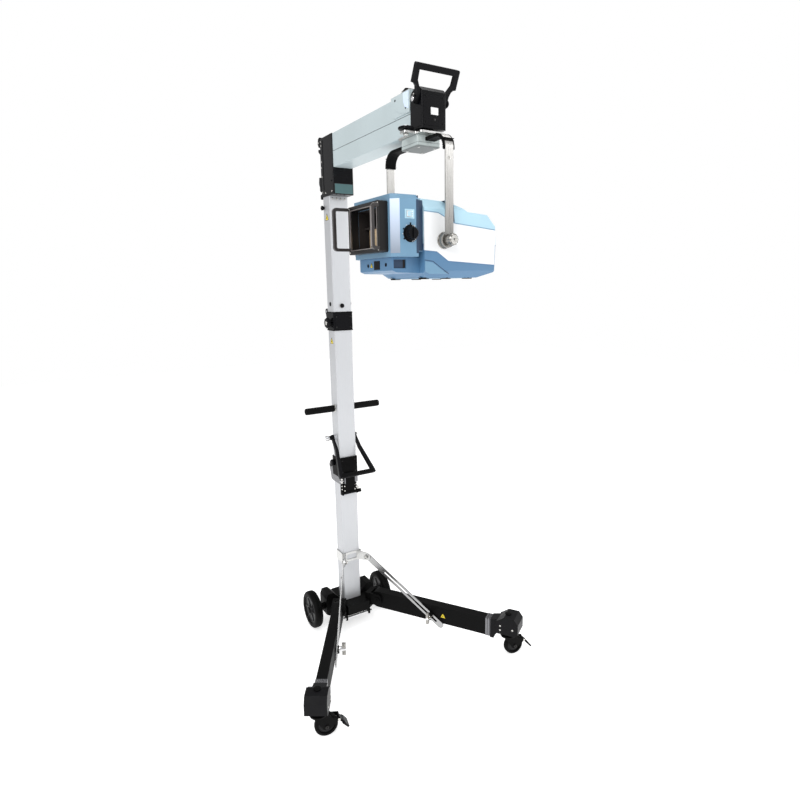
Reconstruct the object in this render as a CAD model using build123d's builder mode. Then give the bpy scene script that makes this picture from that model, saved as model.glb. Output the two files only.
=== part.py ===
"""Portable x-ray head on a foldable, wheeled column stand.

Frame: +Z up, origin on the floor under the column's axis, boom towards -Y. Millimetres.
"""
from build123d import *
from math import atan2, cos, degrees, hypot, radians, sin
import os

os.makedirs("parts", exist_ok=True)

# ---------------------------------------------------------------- driving dimensions
RUN = 0.05              # radial clearance of a running fit
GAP = 0.3               # clearance between faces that move past each other

COL_W, COL_D, COL_WALL, COL_R = 80.0, 60.0, 3.0, 4.0
BASE_TOP = 107.0        # foot of the column
SOCKET_TOP = 680.7      # parting line of the lower hinge
HEAD_Z0, HEAD_Z1 = 681.0, 765.0
COLLAR_Z0, COLLAR_Z1 = 1303.5, 1379.5
MAST_TOP = 1829.0

LEG_X0, LEG_Y0 = 40.0, 5.0          # where the right leg's centreline starts, in plan
LEG_ANGLE = radians(32.0)           # leg direction from -Y
LEG_W, LEG_Z0, LEG_Z1 = 40.0, 73.0, 147.0
LEG_PIVOT = (120.0, 110.0)          # along the leg, height
LEG_END = 655.0
CASTER_AT = 708.0                   # swivel axis along the leg
CASTER_R, CASTER_W, CASTER_TRAIL = 40.0, 22.0, 24.0
CASTER_TURN = -12.0                 # rest direction of the trail, degrees from +X
STAY_TOP = (73.0, 310.0)            # pivot on the bracket's ear
STAY_CLAMP = (375.0, 100.0)         # clamp on the leg
STAY_LEN, STAY_W, STAY_T = 425.0, 28.0, 4.0

REAR_R, REAR_W, REAR_X = 80.0, 36.0, 170.0
REAR_Y = 25.0
AXLE_R = 8.0

HINGE_Y, HINGE_Z, HINGE_R = 60.0, 712.0, 16.0
FOLD_Y, FOLD_Z, FOLD_R = 48.0, 1379.6, 12.0

BOOM_W, BOOM_Z0, BOOM_Z1 = 80.0, 1926.5, 2048.0
BOOM_Y0, BOOM_Y1 = -628.0, -12.0
NOSE_Y0 = -692.0
BRACKET_W, BRACKET_Y0, BRACKET_Y1 = 86.0, -78.0, 34.0

YOKE_Y, YOKE_HALF, STRAP_T, STRAP_W = -600.0, 166.0, 4.5, 28.0
STRAP_TOP, STRAP_R = 1912.0, 46.0
TILT_Z = 1610.0

UNIT_Y, UNIT_HALF = -612.0, 128.0
SHELL_WALL = 6.0
PANEL_T = 4.0


# ---------------------------------------------------------------- helpers
def block(x0, x1, y0, y1, z0, z1, mode=Mode.ADD):
    """Add an axis-aligned box between two corners."""
    with Locations(((x0 + x1) / 2, (y0 + y1) / 2, (z0 + z1) / 2)):
        Box(x1 - x0, y1 - y0, z1 - z0, mode=mode)


def bar_x(r, x0, x1, y, z, mode=Mode.ADD):
    """Add a cylinder along X."""
    with Locations(Location(((x0 + x1) / 2, y, z), (0, 90, 0))):
        Cylinder(r, x1 - x0, mode=mode)


def bar_y(r, y0, y1, x, z, mode=Mode.ADD):
    """Add a cylinder along Y."""
    with Locations(Location((x, (y0 + y1) / 2, z), (90, 0, 0))):
        Cylinder(r, y1 - y0, mode=mode)


def bar_z(r, z0, z1, x, y, mode=Mode.ADD):
    """Add a cylinder along Z."""
    with Locations((x, y, (z0 + z1) / 2)):
        Cylinder(r, z1 - z0, mode=mode)


def plate_xz(points, y0, y1, mode=Mode.ADD):
    """Extrude an (x, z) outline between two y."""
    with BuildSketch(Plane.XZ.offset(-y1)) as outline:
        Polygon(*points, align=None)
    extrude(outline.sketch, amount=y1 - y0, mode=mode)


def plate_yz(points, x0, x1, mode=Mode.ADD):
    """Extrude a (y, z) outline between two x."""
    with BuildSketch(Plane.YZ.offset(x0)) as outline:
        Polygon(*points, align=None)
    extrude(outline.sketch, amount=x1 - x0, mode=mode)


def column_tube(z0, z1):
    """Add a hollow column section with rounded corners."""
    with BuildSketch(Plane.XY.offset(z0)) as section:
        RectangleRounded(COL_W, COL_D, COL_R)
        RectangleRounded(COL_W - 2 * COL_WALL, COL_D - 2 * COL_WALL, 1.5, mode=Mode.SUBTRACT)
    extrude(section.sketch, amount=z1 - z0)


def save(builder, name):
    """Label a finished piece and write it."""
    builder.part.label = name
    export_step(builder.part, f"parts/{name}.step")


def save_both_sides(right, name):
    """Write a right-hand piece and its mirror image."""
    save(right, name + "_right")
    with BuildPart() as left:
        mirror(right.part, about=Plane.YZ)
    save(left, name + "_left")


# The right leg's own plane: local x runs out along the leg, local y is up,
# and local z points to the inside of the V.
LEG_DX, LEG_DY = sin(LEG_ANGLE), -cos(LEG_ANGLE)
LEG_PLANE = Plane(origin=(LEG_X0, LEG_Y0, 0), x_dir=(LEG_DX, LEG_DY, 0), z_dir=(LEG_DY, -LEG_DX, 0))


def leg_plate(points, w0, w1, mode=Mode.ADD):
    """Extrude an outline in the leg's plane between two inward offsets."""
    with BuildSketch(LEG_PLANE.offset(w0)) as outline:
        Polygon(*points, align=None)
    extrude(outline.sketch, amount=w1 - w0, mode=mode)


def leg_disc(r, at, w0, w1, mode=Mode.ADD):
    """Extrude a disc in the leg's plane between two inward offsets."""
    with BuildSketch(LEG_PLANE.offset(w0)) as outline:
        with Locations(at):
            Circle(r)
    extrude(outline.sketch, amount=w1 - w0, mode=mode)


def rectangle(x0, x1, z0, z1):
    """Corner points of an upright rectangle."""
    return [(x0, z0), (x1, z0), (x1, z1), (x0, z1)]


# ---------------------------------------------------------------- base
ARM_HALF = 29.0          # half-width of the arm that carries a leg
BLOCK_Z0, BLOCK_HALF = 65.0, 52.0
BLOCK_Y0, BLOCK_Y1 = -90.0, 98.0
BRACKET_PROFILE = [(48, 66), (104, 42), (118, 50), (118, 124), (110, 145), (83, 145), (48, 107)]

with BuildPart() as base_block:
    block(-BLOCK_HALF, BLOCK_HALF, BLOCK_Y0, BLOCK_Y1, BLOCK_Z0, BASE_TOP)
    for side in (1, -1):
        plate_xz([(side * x, z) for x, z in BRACKET_PROFILE], -8, 62)
    leg_plate(rectangle(20, 82, BLOCK_Z0, BASE_TOP), -ARM_HALF, ARM_HALF)
    leg_plate(rectangle(60, 82, BLOCK_Z0, 135), -ARM_HALF, ARM_HALF)
    for w0, w1 in ((-ARM_HALF, -LEG_W / 2 - GAP), (LEG_W / 2 + GAP, ARM_HALF)):
        leg_plate([(80, 80), (132, 90), (140, 100), (140, 122), (130, 135), (80, 135)], w0, w1)
    leg_disc(AXLE_R + RUN, LEG_PIVOT, -ARM_HALF, ARM_HALF, Mode.SUBTRACT)
    # the left arm mirrors the right one; the middle of the block is its own mirror image
    mirror(about=Plane.YZ)
    for x in (-55, 55):
        block(x - 4, x + 4, -82, -64, 39, BLOCK_Z0)
    bar_x(5.0, -60, 60, -73, 47, Mode.SUBTRACT)
    bar_x(AXLE_R, -120, 120, REAR_Y, REAR_R, Mode.SUBTRACT)
    edges_up = base_block.edges().filter_by(Axis.Z).group_by(Axis.Y)
    fillet(edges_up[-1], 10)
save(base_block, "base_block")

with BuildPart() as rear_axle:
    bar_x(AXLE_R, -REAR_X - REAR_W / 2, REAR_X + REAR_W / 2, REAR_Y, REAR_R)
    for side in (1, -1):
        x_in, x_out = sorted((side * 118.0, side * (REAR_X - REAR_W / 2 - GAP)))
        bar_x(14, x_in, x_out, REAR_Y, REAR_R)
save(rear_axle, "rear_axle")

with BuildPart() as tow_rod:
    bar_x(5.0, -70, 70, -73, 47)
    for side in (1, -1):
        x_in, x_out = sorted((side * 59.0, side * 64.0))
        bar_x(8, x_in, x_out, -73, 47)
save(tow_rod, "tow_rod")

with BuildPart() as base_post:
    column_tube(BASE_TOP, 650.0)
save(base_post, "base_post")

# ---------------------------------------------------------------- stay bracket
EAR_W0, EAR_W1 = 27.0, 31.0          # the ear lies inside the stay
EAR_Z0, EAR_Z1 = 288.0, 331.0

with BuildPart() as stay_bracket:
    leg_plate([(24, EAR_Z0), (72, EAR_Z0 + 4), (72, EAR_Z1 - 4), (24, EAR_Z1)], EAR_W0, EAR_W1)
    leg_disc(17.5, STAY_TOP, EAR_W0, EAR_W1)
    leg_disc(5.0 + RUN, STAY_TOP, EAR_W0, EAR_W1, Mode.SUBTRACT)
    mirror(about=Plane.YZ)
    block(-46, 46, -34, -30, EAR_Z0, EAR_Z1)
    for x in (-44, 40):
        block(x, x + 4, -34, 30, EAR_Z0, EAR_Z1)
    block(-24, 24, -36, -28, 298, 321, Mode.SUBTRACT)
    block(-COL_W / 2, COL_W / 2, -COL_D / 2, COL_D / 2, EAR_Z0 - 1, EAR_Z1 + 1, Mode.SUBTRACT)
save(stay_bracket, "stay_bracket")

# ---------------------------------------------------------------- legs and stays
with BuildPart() as leg_right:
    leg_plate(rectangle(LEG_PIVOT[0], LEG_END, LEG_Z0, LEG_Z1), -LEG_W / 2, LEG_W / 2)
    leg_disc((LEG_Z1 - LEG_Z0) / 2, LEG_PIVOT, -LEG_W / 2, LEG_W / 2)
    leg_plate(rectangle(170, LEG_END, LEG_Z0 + 3, LEG_Z1 - 3), -LEG_W / 2 + 3, LEG_W / 2 - 3, Mode.SUBTRACT)
    leg_disc(AXLE_R, LEG_PIVOT, -ARM_HALF - 2, ARM_HALF + 2)
    for w0, w1 in ((-ARM_HALF - 4, -ARM_HALF - GAP), (ARM_HALF + GAP, ARM_HALF + 4)):
        leg_disc(13, LEG_PIVOT, w0, w1)
    # keeper that the clamp screw of the stay runs in: a lug under the stay and a plate over it
    stay_tilt = atan2(STAY_TOP[1] - STAY_CLAMP[1], STAY_CLAMP[0] - STAY_TOP[0])
    ux, uy = cos(stay_tilt), -sin(stay_tilt)
    vx, vy = uy, -ux

    def beside_stay(u, v):
        """Point near the clamp: u along the stay, v square to it and down."""
        return (STAY_CLAMP[0] + u * ux + v * vx, STAY_CLAMP[1] + u * uy + v * vy)

    lug = [beside_stay(u, v) for u, v in ((-9, 19.6), (9, 19.6), (9, 26), (-9, 26))]
    keeper = [beside_stay(u, v) for u, v in ((-9, -12), (9, -12), (9, 26), (-9, 26))]
    leg_plate(lug, LEG_W / 2, 27.5)
    leg_plate(keeper, 27.5, 31.5)
    leg_disc(6.0 + RUN, STAY_CLAMP, 27, 32, Mode.SUBTRACT)
save_both_sides(leg_right, "leg")

STAY_W0 = 22.6                        # inward offset of the stay's outer face
stay_dir = (cos(stay_tilt), -sin(stay_tilt))


def along_stay(s, v):
    """Point on the right stay: s from the top pivot, v square to it and up."""
    return (STAY_TOP[0] + s * stay_dir[0] - v * stay_dir[1], STAY_TOP[1] + s * stay_dir[1] + v * stay_dir[0])


def stay_outline(s0, s1, half):
    """Rectangle along the stay."""
    return [along_stay(s, v) for s, v in ((s0, -half), (s1, -half), (s1, half), (s0, half))]


with BuildPart() as stay_right:
    leg_plate(stay_outline(0, STAY_LEN, STAY_W / 2), STAY_W0, STAY_W0 + STAY_T)
    for s in (0, STAY_LEN):
        leg_disc(STAY_W / 2, along_stay(s, 0), STAY_W0, STAY_W0 + STAY_T)
    leg_plate(stay_outline(105, 405, 4.5), STAY_W0, STAY_W0 + STAY_T, Mode.SUBTRACT)
    leg_disc(5.0, STAY_TOP, STAY_W0, EAR_W1 + 1)
    leg_disc(9.0, STAY_TOP, EAR_W1 + GAP, EAR_W1 + 5)
save_both_sides(stay_right, "stay")

with BuildPart() as stay_knob_right:
    leg_disc(9, STAY_CLAMP, 31.5 + GAP, 44)
    leg_plate([(STAY_CLAMP[0] + x, STAY_CLAMP[1] + z) for x, z in rectangle(-5, 5, -24, 24)], 44, 58)
    leg_disc(6, STAY_CLAMP, 27.0, 31.5 + GAP)
save_both_sides(stay_knob_right, "stay_knob")

# ---------------------------------------------------------------- caster mounts and casters
MOUNT_HALF = 38.0
FORK_TOP = 90.0
STEM_R, STEM_TOP = 8.0, 146.0
MOUNT_PROFILE = [
    (640, 70), (655, 70), (661, 86), (672, 104), (742, 104), (758, 116), (758, 156), (742, 178), (700, 178),
    (672, 158), (640, 150),
]

with BuildPart() as caster_mount_right:
    leg_plate(MOUNT_PROFILE, -MOUNT_HALF, MOUNT_HALF)
    chamfer(caster_mount_right.edges().filter_by(Axis.Z).group_by(SortBy.LENGTH)[-1], 12)
    leg_plate(rectangle(600, 668, 60, 160), -MOUNT_HALF, -LEG_W / 2 - 4, Mode.SUBTRACT)
    leg_plate(rectangle(600, 668, 60, 160), LEG_W / 2 + 4, MOUNT_HALF, Mode.SUBTRACT)
    leg_plate(rectangle(600, LEG_END, LEG_Z0, LEG_Z1), -LEG_W / 2, LEG_W / 2, Mode.SUBTRACT)
    bar_z(
        STEM_R + RUN, 100, STEM_TOP + 2, LEG_X0 + CASTER_AT * LEG_DX, LEG_Y0 + CASTER_AT * LEG_DY, Mode.SUBTRACT
    )
save_both_sides(caster_mount_right, "caster_mount")

CASTER_X, CASTER_Y = LEG_X0 + CASTER_AT * LEG_DX, LEG_Y0 + CASTER_AT * LEG_DY
CHEEK_IN, CHEEK_OUT = 12.5, 16.5      # fork cheeks each side of the wheel
PEDAL_AT = (66.0, 57.0)               # pedal pivot: along the trail, height
PEDAL_PIN_R = 3.0


def caster_plane(side):
    """Plane at a caster's wheel centre plane: x along the trail, y up, normal across the wheel."""
    turn = radians(CASTER_TURN)
    return Plane(
        origin=(side * CASTER_X, CASTER_Y, 0), x_dir=(cos(turn), sin(turn), 0), z_dir=(sin(turn), -cos(turn), 0)
    )


def caster_plate(plane, points, w0, w1, mode=Mode.ADD):
    """Extrude an outline in a caster's plane between two offsets across the wheel."""
    with BuildSketch(plane.offset(w0)) as outline:
        Polygon(*points, align=None)
    extrude(outline.sketch, amount=w1 - w0, mode=mode)


def caster_disc(plane, r, at, w0, w1, mode=Mode.ADD):
    """Extrude a disc in a caster's plane between two offsets across the wheel."""
    with BuildSketch(plane.offset(w0)) as outline:
        with Locations(at):
            Circle(r)
    extrude(outline.sketch, amount=w1 - w0, mode=mode)


CHEEK_PROFILE = [(-20, FORK_TOP - 4), (-20, 82), (14, 30), (34, 30), (60, 50), (72, 56), (70, 63), (44, 68), (30, 86)]

for side, end in ((1, "right"), (-1, "left")):
    plane = caster_plane(side)
    wheel_at = (CASTER_TRAIL, CASTER_R)
    with BuildPart() as fork:
        bar_z(STEM_R, FORK_TOP - 4, STEM_TOP, side * CASTER_X, CASTER_Y)
        bar_z(15, FORK_TOP, 103.7, side * CASTER_X, CASTER_Y)
        bar_z(30, FORK_TOP - 6, FORK_TOP, side * CASTER_X, CASTER_Y)
        for w0, w1 in ((-CHEEK_OUT, -CHEEK_IN), (CHEEK_IN, CHEEK_OUT)):
            caster_plate(plane, CHEEK_PROFILE, w0, w1)
        caster_disc(plane, PEDAL_PIN_R + RUN, PEDAL_AT, -CHEEK_OUT, CHEEK_OUT, Mode.SUBTRACT)
        caster_disc(plane, 5.0, wheel_at, -CHEEK_OUT - 3, CHEEK_OUT + 3)
    save(fork, "caster_fork_" + end)

    with BuildPart() as wheel:
        caster_disc(plane, CASTER_R, wheel_at, -CASTER_W / 2, CASTER_W / 2)
        rims = wheel.edges().filter_by(GeomType.CIRCLE)
        fillet(rims, 4)
        caster_disc(plane, 5.0 + RUN, wheel_at, -CASTER_W / 2, CASTER_W / 2, Mode.SUBTRACT)
    save(wheel, "caster_wheel_" + end)

    with BuildPart() as pedal:
        caster_disc(plane, 5.2, PEDAL_AT, -CHEEK_IN + GAP, CHEEK_IN - GAP)
        caster_plate(plane, [(66, 52), (71, 57), (86, 42), (100, 24), (94, 22), (80, 37)], -CHEEK_IN + GAP, CHEEK_IN - GAP)
        caster_plate(plane, [(76, 41), (86, 42), (100, 24), (94, 22), (80, 37)], -20, 20)
        caster_disc(plane, PEDAL_PIN_R, PEDAL_AT, -CHEEK_OUT - 1, CHEEK_OUT + 1)
    save(pedal, "brake_pedal_" + end)

with BuildPart() as rear_wheel_right:
    bar_x(REAR_R, REAR_X - REAR_W / 2, REAR_X + REAR_W / 2, REAR_Y, REAR_R)
    fillet(rear_wheel_right.edges().filter_by(GeomType.CIRCLE), 9)
    bar_x(AXLE_R + RUN, REAR_X - REAR_W, REAR_X + REAR_W, REAR_Y, REAR_R, Mode.SUBTRACT)
save_both_sides(rear_wheel_right, "rear_wheel")

# ---------------------------------------------------------------- lower hinge
PIN_R = 6.0
SOCKET_Y0, SOCKET_Y1 = -34.0, 39.0
LOBE_HALF = 23.0         # half-width of the moving lobe, between the socket's two

with BuildPart() as hinge_socket:
    block(-42, 42, SOCKET_Y0, SOCKET_Y1, 650, SOCKET_TOP)
    for x0, x1 in ((-40, -LOBE_HALF - GAP), (LOBE_HALF + GAP, 40)):
        plate_yz([(39, 650), (58, 652), (HINGE_Y + HINGE_R, HINGE_Z), (HINGE_Y - HINGE_R, HINGE_Z), (39, 680)], x0, x1)
        bar_x(HINGE_R, x0, x1, HINGE_Y, HINGE_Z)
    bar_x(PIN_R + RUN, -40, 40, HINGE_Y, HINGE_Z, Mode.SUBTRACT)
save(hinge_socket, "hinge_socket")

with BuildPart() as hinge_head:
    block(-42, 42, -36, 38, HEAD_Z0, HEAD_Z1)
    fillet(hinge_head.edges().filter_by(Axis.Z), 3)
    block(-LOBE_HALF, LOBE_HALF, 38, HINGE_Y, 702, 728)
    bar_x(HINGE_R - 2, -LOBE_HALF, LOBE_HALF, HINGE_Y, HINGE_Z)
    bar_x(PIN_R, -42, 42, HINGE_Y, HINGE_Z)
    # catch that the latch hooks over
    block(-16, 16, -42, -36, 684, 692)
save(hinge_head, "hinge_head")

LATCH_Y, LATCH_Z = -46.0, 612.0
with BuildPart() as latch_keeper:
    block(-40, 34, -38, -30, 602, 649)
    fillet(latch_keeper.edges().filter_by(Axis.Y), 3)
    for x0, x1 in ((-40, -34), (28, 34)):
        block(x0, x1, LATCH_Y - 5, -38, 604, 620)
    bar_x(3.0 + RUN, -40, 34, LATCH_Y, LATCH_Z, Mode.SUBTRACT)
save(latch_keeper, "latch_keeper")

with BuildPart() as latch_lever:
    block(-33.5, 27.5, -44, -41, 612, 649)
    bar_x(5.0, -33.5, 27.5, LATCH_Y, LATCH_Z)
    block(-22, 22, -47, -44, 634, 697)
    block(-22, 22, -44, -38, 693, 697)
    bar_x(3.0, -42, 48, LATCH_Y, LATCH_Z)
    bar_x(8.0, 36, 48, LATCH_Y, LATCH_Z)
save(latch_lever, "latch_lever")

# ---------------------------------------------------------------- lower mast
BAR_Z, BAR_R = 977.0, 11.0
GRIP_R, BAR_END = 13.5, 170.0
HANDLE_Y, HANDLE_Z = 5.0, 850.0

with BuildPart() as lower_mast:
    column_tube(HEAD_Z1, COLLAR_Z1 - 1)
    bar_x(BAR_R, -COL_W, COL_W, 0, BAR_Z, Mode.SUBTRACT)
    bar_x(5.0, -COL_W, COL_W, HANDLE_Y, HANDLE_Z, Mode.SUBTRACT)
save(lower_mast, "lower_mast")

with BuildPart() as push_bar:
    bar_x(BAR_R, -BAR_END + 4, BAR_END - 4, 0, BAR_Z)
    bar_x(BAR_R - 3, -BAR_END + 4, BAR_END - 4, 0, BAR_Z, Mode.SUBTRACT)
save(push_bar, "push_bar")

with BuildPart() as push_grips:
    for side in (1, -1):
        x_in, x_out = sorted((side * (COL_W / 2 + 3), side * BAR_END))
        bar_x(GRIP_R, x_in, x_out, 0, BAR_Z)
    fillet(push_grips.edges().filter_by(GeomType.CIRCLE), 2.5)
    bar_x(BAR_R, -BAR_END + 4, BAR_END - 4, 0, BAR_Z, Mode.SUBTRACT)
save(push_grips, "push_grips")

with BuildPart() as handle_pivot:
    bar_x(5.0, -84, 62, HANDLE_Y, HANDLE_Z)
    bar_x(12, -56, -COL_W / 2, HANDLE_Y, HANDLE_Z)
    bar_x(12, COL_W / 2, 47, HANDLE_Y, HANDLE_Z)
    bar_x(10, -84, -69, HANDLE_Y, HANDLE_Z)
    bar_x(8, 57.6, 63, HANDLE_Y, HANDLE_Z)
    bar_x(12, -56, -47, HANDLE_Y, HANDLE_Z, Mode.SUBTRACT)
    bar_x(5.0, -56, -47, HANDLE_Y, HANDLE_Z)
save(handle_pivot, "handle_pivot")

# the folding handle is drawn flat and stood on the line from its pivots to its crossbar
HANDLE_REACH = (-115.0, 714.0)        # y, z of the crossbar
handle_run = hypot(HANDLE_REACH[0] - HANDLE_Y, HANDLE_REACH[1] - HANDLE_Z)
handle_up = ((HANDLE_Y - HANDLE_REACH[0]) / handle_run, (HANDLE_Z - HANDLE_REACH[1]) / handle_run)
HANDLE_PLANE = Plane(
    origin=(0, HANDLE_Y, HANDLE_Z), x_dir=(1, 0, 0), z_dir=(0, -handle_up[1], handle_up[0])
)

with BuildPart() as folding_handle:
    with BuildSketch(HANDLE_PLANE.offset(-7)):
        Polygon(
            (-56, 10), (-47.3, 10), (-47.3, -62), (-66, -(handle_run - 8)), (66, -(handle_run - 8)), (47.3, -62),
            (47.3, 10), (56, 10), (60, -58), (83, -(handle_run - 4)), (83, -(handle_run + 8)),
            (-83, -(handle_run + 8)), (-83, -(handle_run - 4)), (-60, -58), align=None,
        )
    extrude(amount=14)
    bar_x(5.0 + RUN, -60, 60, HANDLE_Y, HANDLE_Z, Mode.SUBTRACT)
save(folding_handle, "folding_handle")

# ---------------------------------------------------------------- collar and upper mast
FOLD_LOBE = 17.0
with BuildPart() as mid_collar:
    block(-43, 43, -33, 33, COLLAR_Z0, COLLAR_Z1)
    fillet(mid_collar.edges().filter_by(Axis.Z), 4)
    for x0, x1 in ((-36, -FOLD_LOBE - GAP), (FOLD_LOBE + GAP, 36)):
        plate_yz([(32, 1330), (44, 1334), (FOLD_Y + FOLD_R, FOLD_Z), (33, FOLD_Z)], x0, x1)
        bar_x(FOLD_R, x0, x1, FOLD_Y, FOLD_Z)
    block(-COL_W / 2, COL_W / 2, -COL_D / 2, COL_D / 2, COLLAR_Z0, COLLAR_Z1 - 1, Mode.SUBTRACT)
    block(-30, 30, -20, 20, COLLAR_Z1 - 2, COLLAR_Z1, Mode.SUBTRACT)
    bar_x(4.0 + RUN, -36, 36, FOLD_Y, FOLD_Z, Mode.SUBTRACT)
    bar_x(5.0 + RUN, -44, -40, 0, 1335, Mode.SUBTRACT)
    bar_x(9, 43, 50, -6, 1322)
save(mid_collar, "mid_collar")

with BuildPart() as collar_knob:
    bar_x(5.0, -56, -40.1, 0, 1335)
    bar_x(19, -62, -50, 0, 1335)
    fillet(collar_knob.edges().filter_by(GeomType.CIRCLE).group_by(Axis.X)[0], 3)
save(collar_knob, "collar_knob")

with BuildPart() as upper_mast:
    column_tube(COLLAR_Z1 + GAP, MAST_TOP)
    block(-FOLD_LOBE, FOLD_LOBE, COL_D / 2, FOLD_Y, COLLAR_Z1 + 2, 1440)
    bar_x(FOLD_R - 1, -FOLD_LOBE, FOLD_LOBE, FOLD_Y, FOLD_Z)
    bar_x(4.0, -38, 38, FOLD_Y, FOLD_Z)
    block(-FOLD_LOBE, FOLD_LOBE, FOLD_Y - 6, 70, 1392, 1445, Mode.SUBTRACT)
save(upper_mast, "upper_mast")

# ---------------------------------------------------------------- head bracket and boom
with BuildPart() as head_bracket:
    block(-BRACKET_W / 2, BRACKET_W / 2, BRACKET_Y0, BRACKET_Y1, MAST_TOP, BOOM_Z1)
    fillet(head_bracket.edges().filter_by(Axis.Z), 3)
    block(-BOOM_W / 2, BOOM_W / 2, BRACKET_Y0 - 1, BOOM_Y1, BOOM_Z0, BOOM_Z1 + 1, Mode.SUBTRACT)
    block(-20, 20, BRACKET_Y1 - 2, 46, 2020, 2046)
    block(-26, 26, BRACKET_Y1 - 2, 44, 1856, 1890)
    block(-34, 34, -70, 24, MAST_TOP + 6, 1900, Mode.SUBTRACT)
save(head_bracket, "head_bracket")

with BuildPart() as boom:
    block(-BOOM_W / 2, BOOM_W / 2, BOOM_Y0, BOOM_Y1, BOOM_Z0, BOOM_Z1)
    fillet(boom.edges().filter_by(Axis.Y), 3)
    block(-BOOM_W / 2 + 4, BOOM_W / 2 - 4, BOOM_Y0, BOOM_Y1, BOOM_Z0 + 4, BOOM_Z1 - 4, Mode.SUBTRACT)
    for side in (1, -1):
        x_in, x_out = sorted((side * (BOOM_W / 2 - 1), side * BOOM_W))
        block(x_in, x_out, BOOM_Y0, BOOM_Y1, 1983, 1985, Mode.SUBTRACT)
save(boom, "boom")

with BuildPart() as boom_cover:
    block(-BOOM_W / 2 - 3, BOOM_W / 2 + 3, BOOM_Y0, -520, 1990, BOOM_Z1 + 4)
    fillet(boom_cover.edges().filter_by(Axis.X).group_by(Axis.Z)[0], 24)
    block(-BOOM_W / 2, BOOM_W / 2, BOOM_Y0 - 1, -519, 1980, BOOM_Z1, Mode.SUBTRACT)
save(boom_cover, "boom_cover")

NOSE_Z0, NOSE_Z1 = 1932.0, 2046.0
GRIP_Y, GRIP_Z = -672.0, 2012.0
with BuildPart() as nose_box:
    block(-43, 43, NOSE_Y0, BOOM_Y0, NOSE_Z0, NOSE_Z1)
    chamfer(nose_box.edges().filter_by(Axis.X).group_by(Axis.Z)[-1].sort_by(Axis.Y)[0], 12)
    fillet(nose_box.edges().filter_by(Axis.X).group_by(Axis.Z)[-1].sort_by(Axis.Y)[-1], 24)
    fillet(nose_box.edges().filter_by(Axis.Z), 3)
    block(-36, 36, NOSE_Y0 + 5, BOOM_Y0, NOSE_Z0 + 5, NOSE_Z1 - 26, Mode.SUBTRACT)
    bar_x(5.0 + RUN, -44, 44, GRIP_Y, GRIP_Z, Mode.SUBTRACT)
save(nose_box, "nose_box")

GRIP_REACH = (-709.0, 2089.0)         # y, z of the carrying handle's top bar
grip_run = hypot(GRIP_REACH[0] - GRIP_Y, GRIP_REACH[1] - GRIP_Z)
grip_up = ((GRIP_REACH[0] - GRIP_Y) / grip_run, (GRIP_REACH[1] - GRIP_Z) / grip_run)
GRIP_PLANE = Plane(origin=(0, GRIP_Y, GRIP_Z), x_dir=(1, 0, 0), z_dir=(0, -grip_up[1], grip_up[0]))

with BuildPart() as carry_handle:
    with BuildSketch(GRIP_PLANE.offset(-8)):
        Polygon(
            (-56, -12), (-44, -12), (-44, 22), (-49, 30), (-61, 50), (-62, grip_run - 9), (62, grip_run - 9),
            (61, 50), (49, 30), (44, 22), (44, -12), (56, -12), (56, 20), (60, 33), (66, 39), (75, 41),
            (75, grip_run + 5), (72, grip_run + 8), (-72, grip_run + 8), (-75, grip_run + 5), (-75, 41),
            (-66, 39), (-60, 33), (-56, 20), align=None,
        )
    extrude(amount=16)
    for side in (1, -1):
        x_in, x_out = sorted((side * 37.0, side * 58.0))
        bar_x(5.0, x_in, x_out, GRIP_Y, GRIP_Z)
save(carry_handle, "carry_handle")

# ---------------------------------------------------------------- yoke
PLATE_Z0, PLATE_Z1 = 1920.5, BOOM_Z0
SPINDLE_R = 12.0
LOCK_X, LOCK_Y = -72.0, -650.0
with BuildPart() as swivel_plate:
    block(-46, 46, -690, -560, PLATE_Z0, PLATE_Z1)
    block(-86, -46, -664, -634, PLATE_Z0, PLATE_Z1)
    fillet(swivel_plate.edges().filter_by(Axis.Z), 6)
    bar_z(SPINDLE_R + RUN, PLATE_Z0 - 1, PLATE_Z1 + 1, 0, YOKE_Y, Mode.SUBTRACT)
    bar_z(4.0 + RUN, PLATE_Z0 - 1, PLATE_Z1 + 1, LOCK_X, LOCK_Y, Mode.SUBTRACT)
save(swivel_plate, "swivel_plate")

with BuildPart() as swivel_lock_knob:
    bar_z(4.0, 1914.5, 1934, LOCK_X, LOCK_Y)
    bar_z(22, PLATE_Z1 + GAP + 4, 1938, LOCK_X, LOCK_Y)
    bar_z(8, PLATE_Z1 + GAP, 1934, LOCK_X, LOCK_Y)
    bar_z(7, 1914.5, PLATE_Z0 - GAP, LOCK_X, LOCK_Y)
save(swivel_lock_knob, "swivel_lock_knob")

with BuildPart() as yoke_block:
    block(-40, 40, -664, -572, 1888, 1919.9)
    fillet(yoke_block.edges().filter_by(Axis.Z), 2)
    block(-STRAP_W / 2, STRAP_W / 2, -700, -540, STRAP_TOP - STRAP_T, STRAP_TOP, Mode.SUBTRACT)
    bar_z(SPINDLE_R, 1919, PLATE_Z1 - 0.1, 0, YOKE_Y)
save(yoke_block, "yoke_block")


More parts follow.
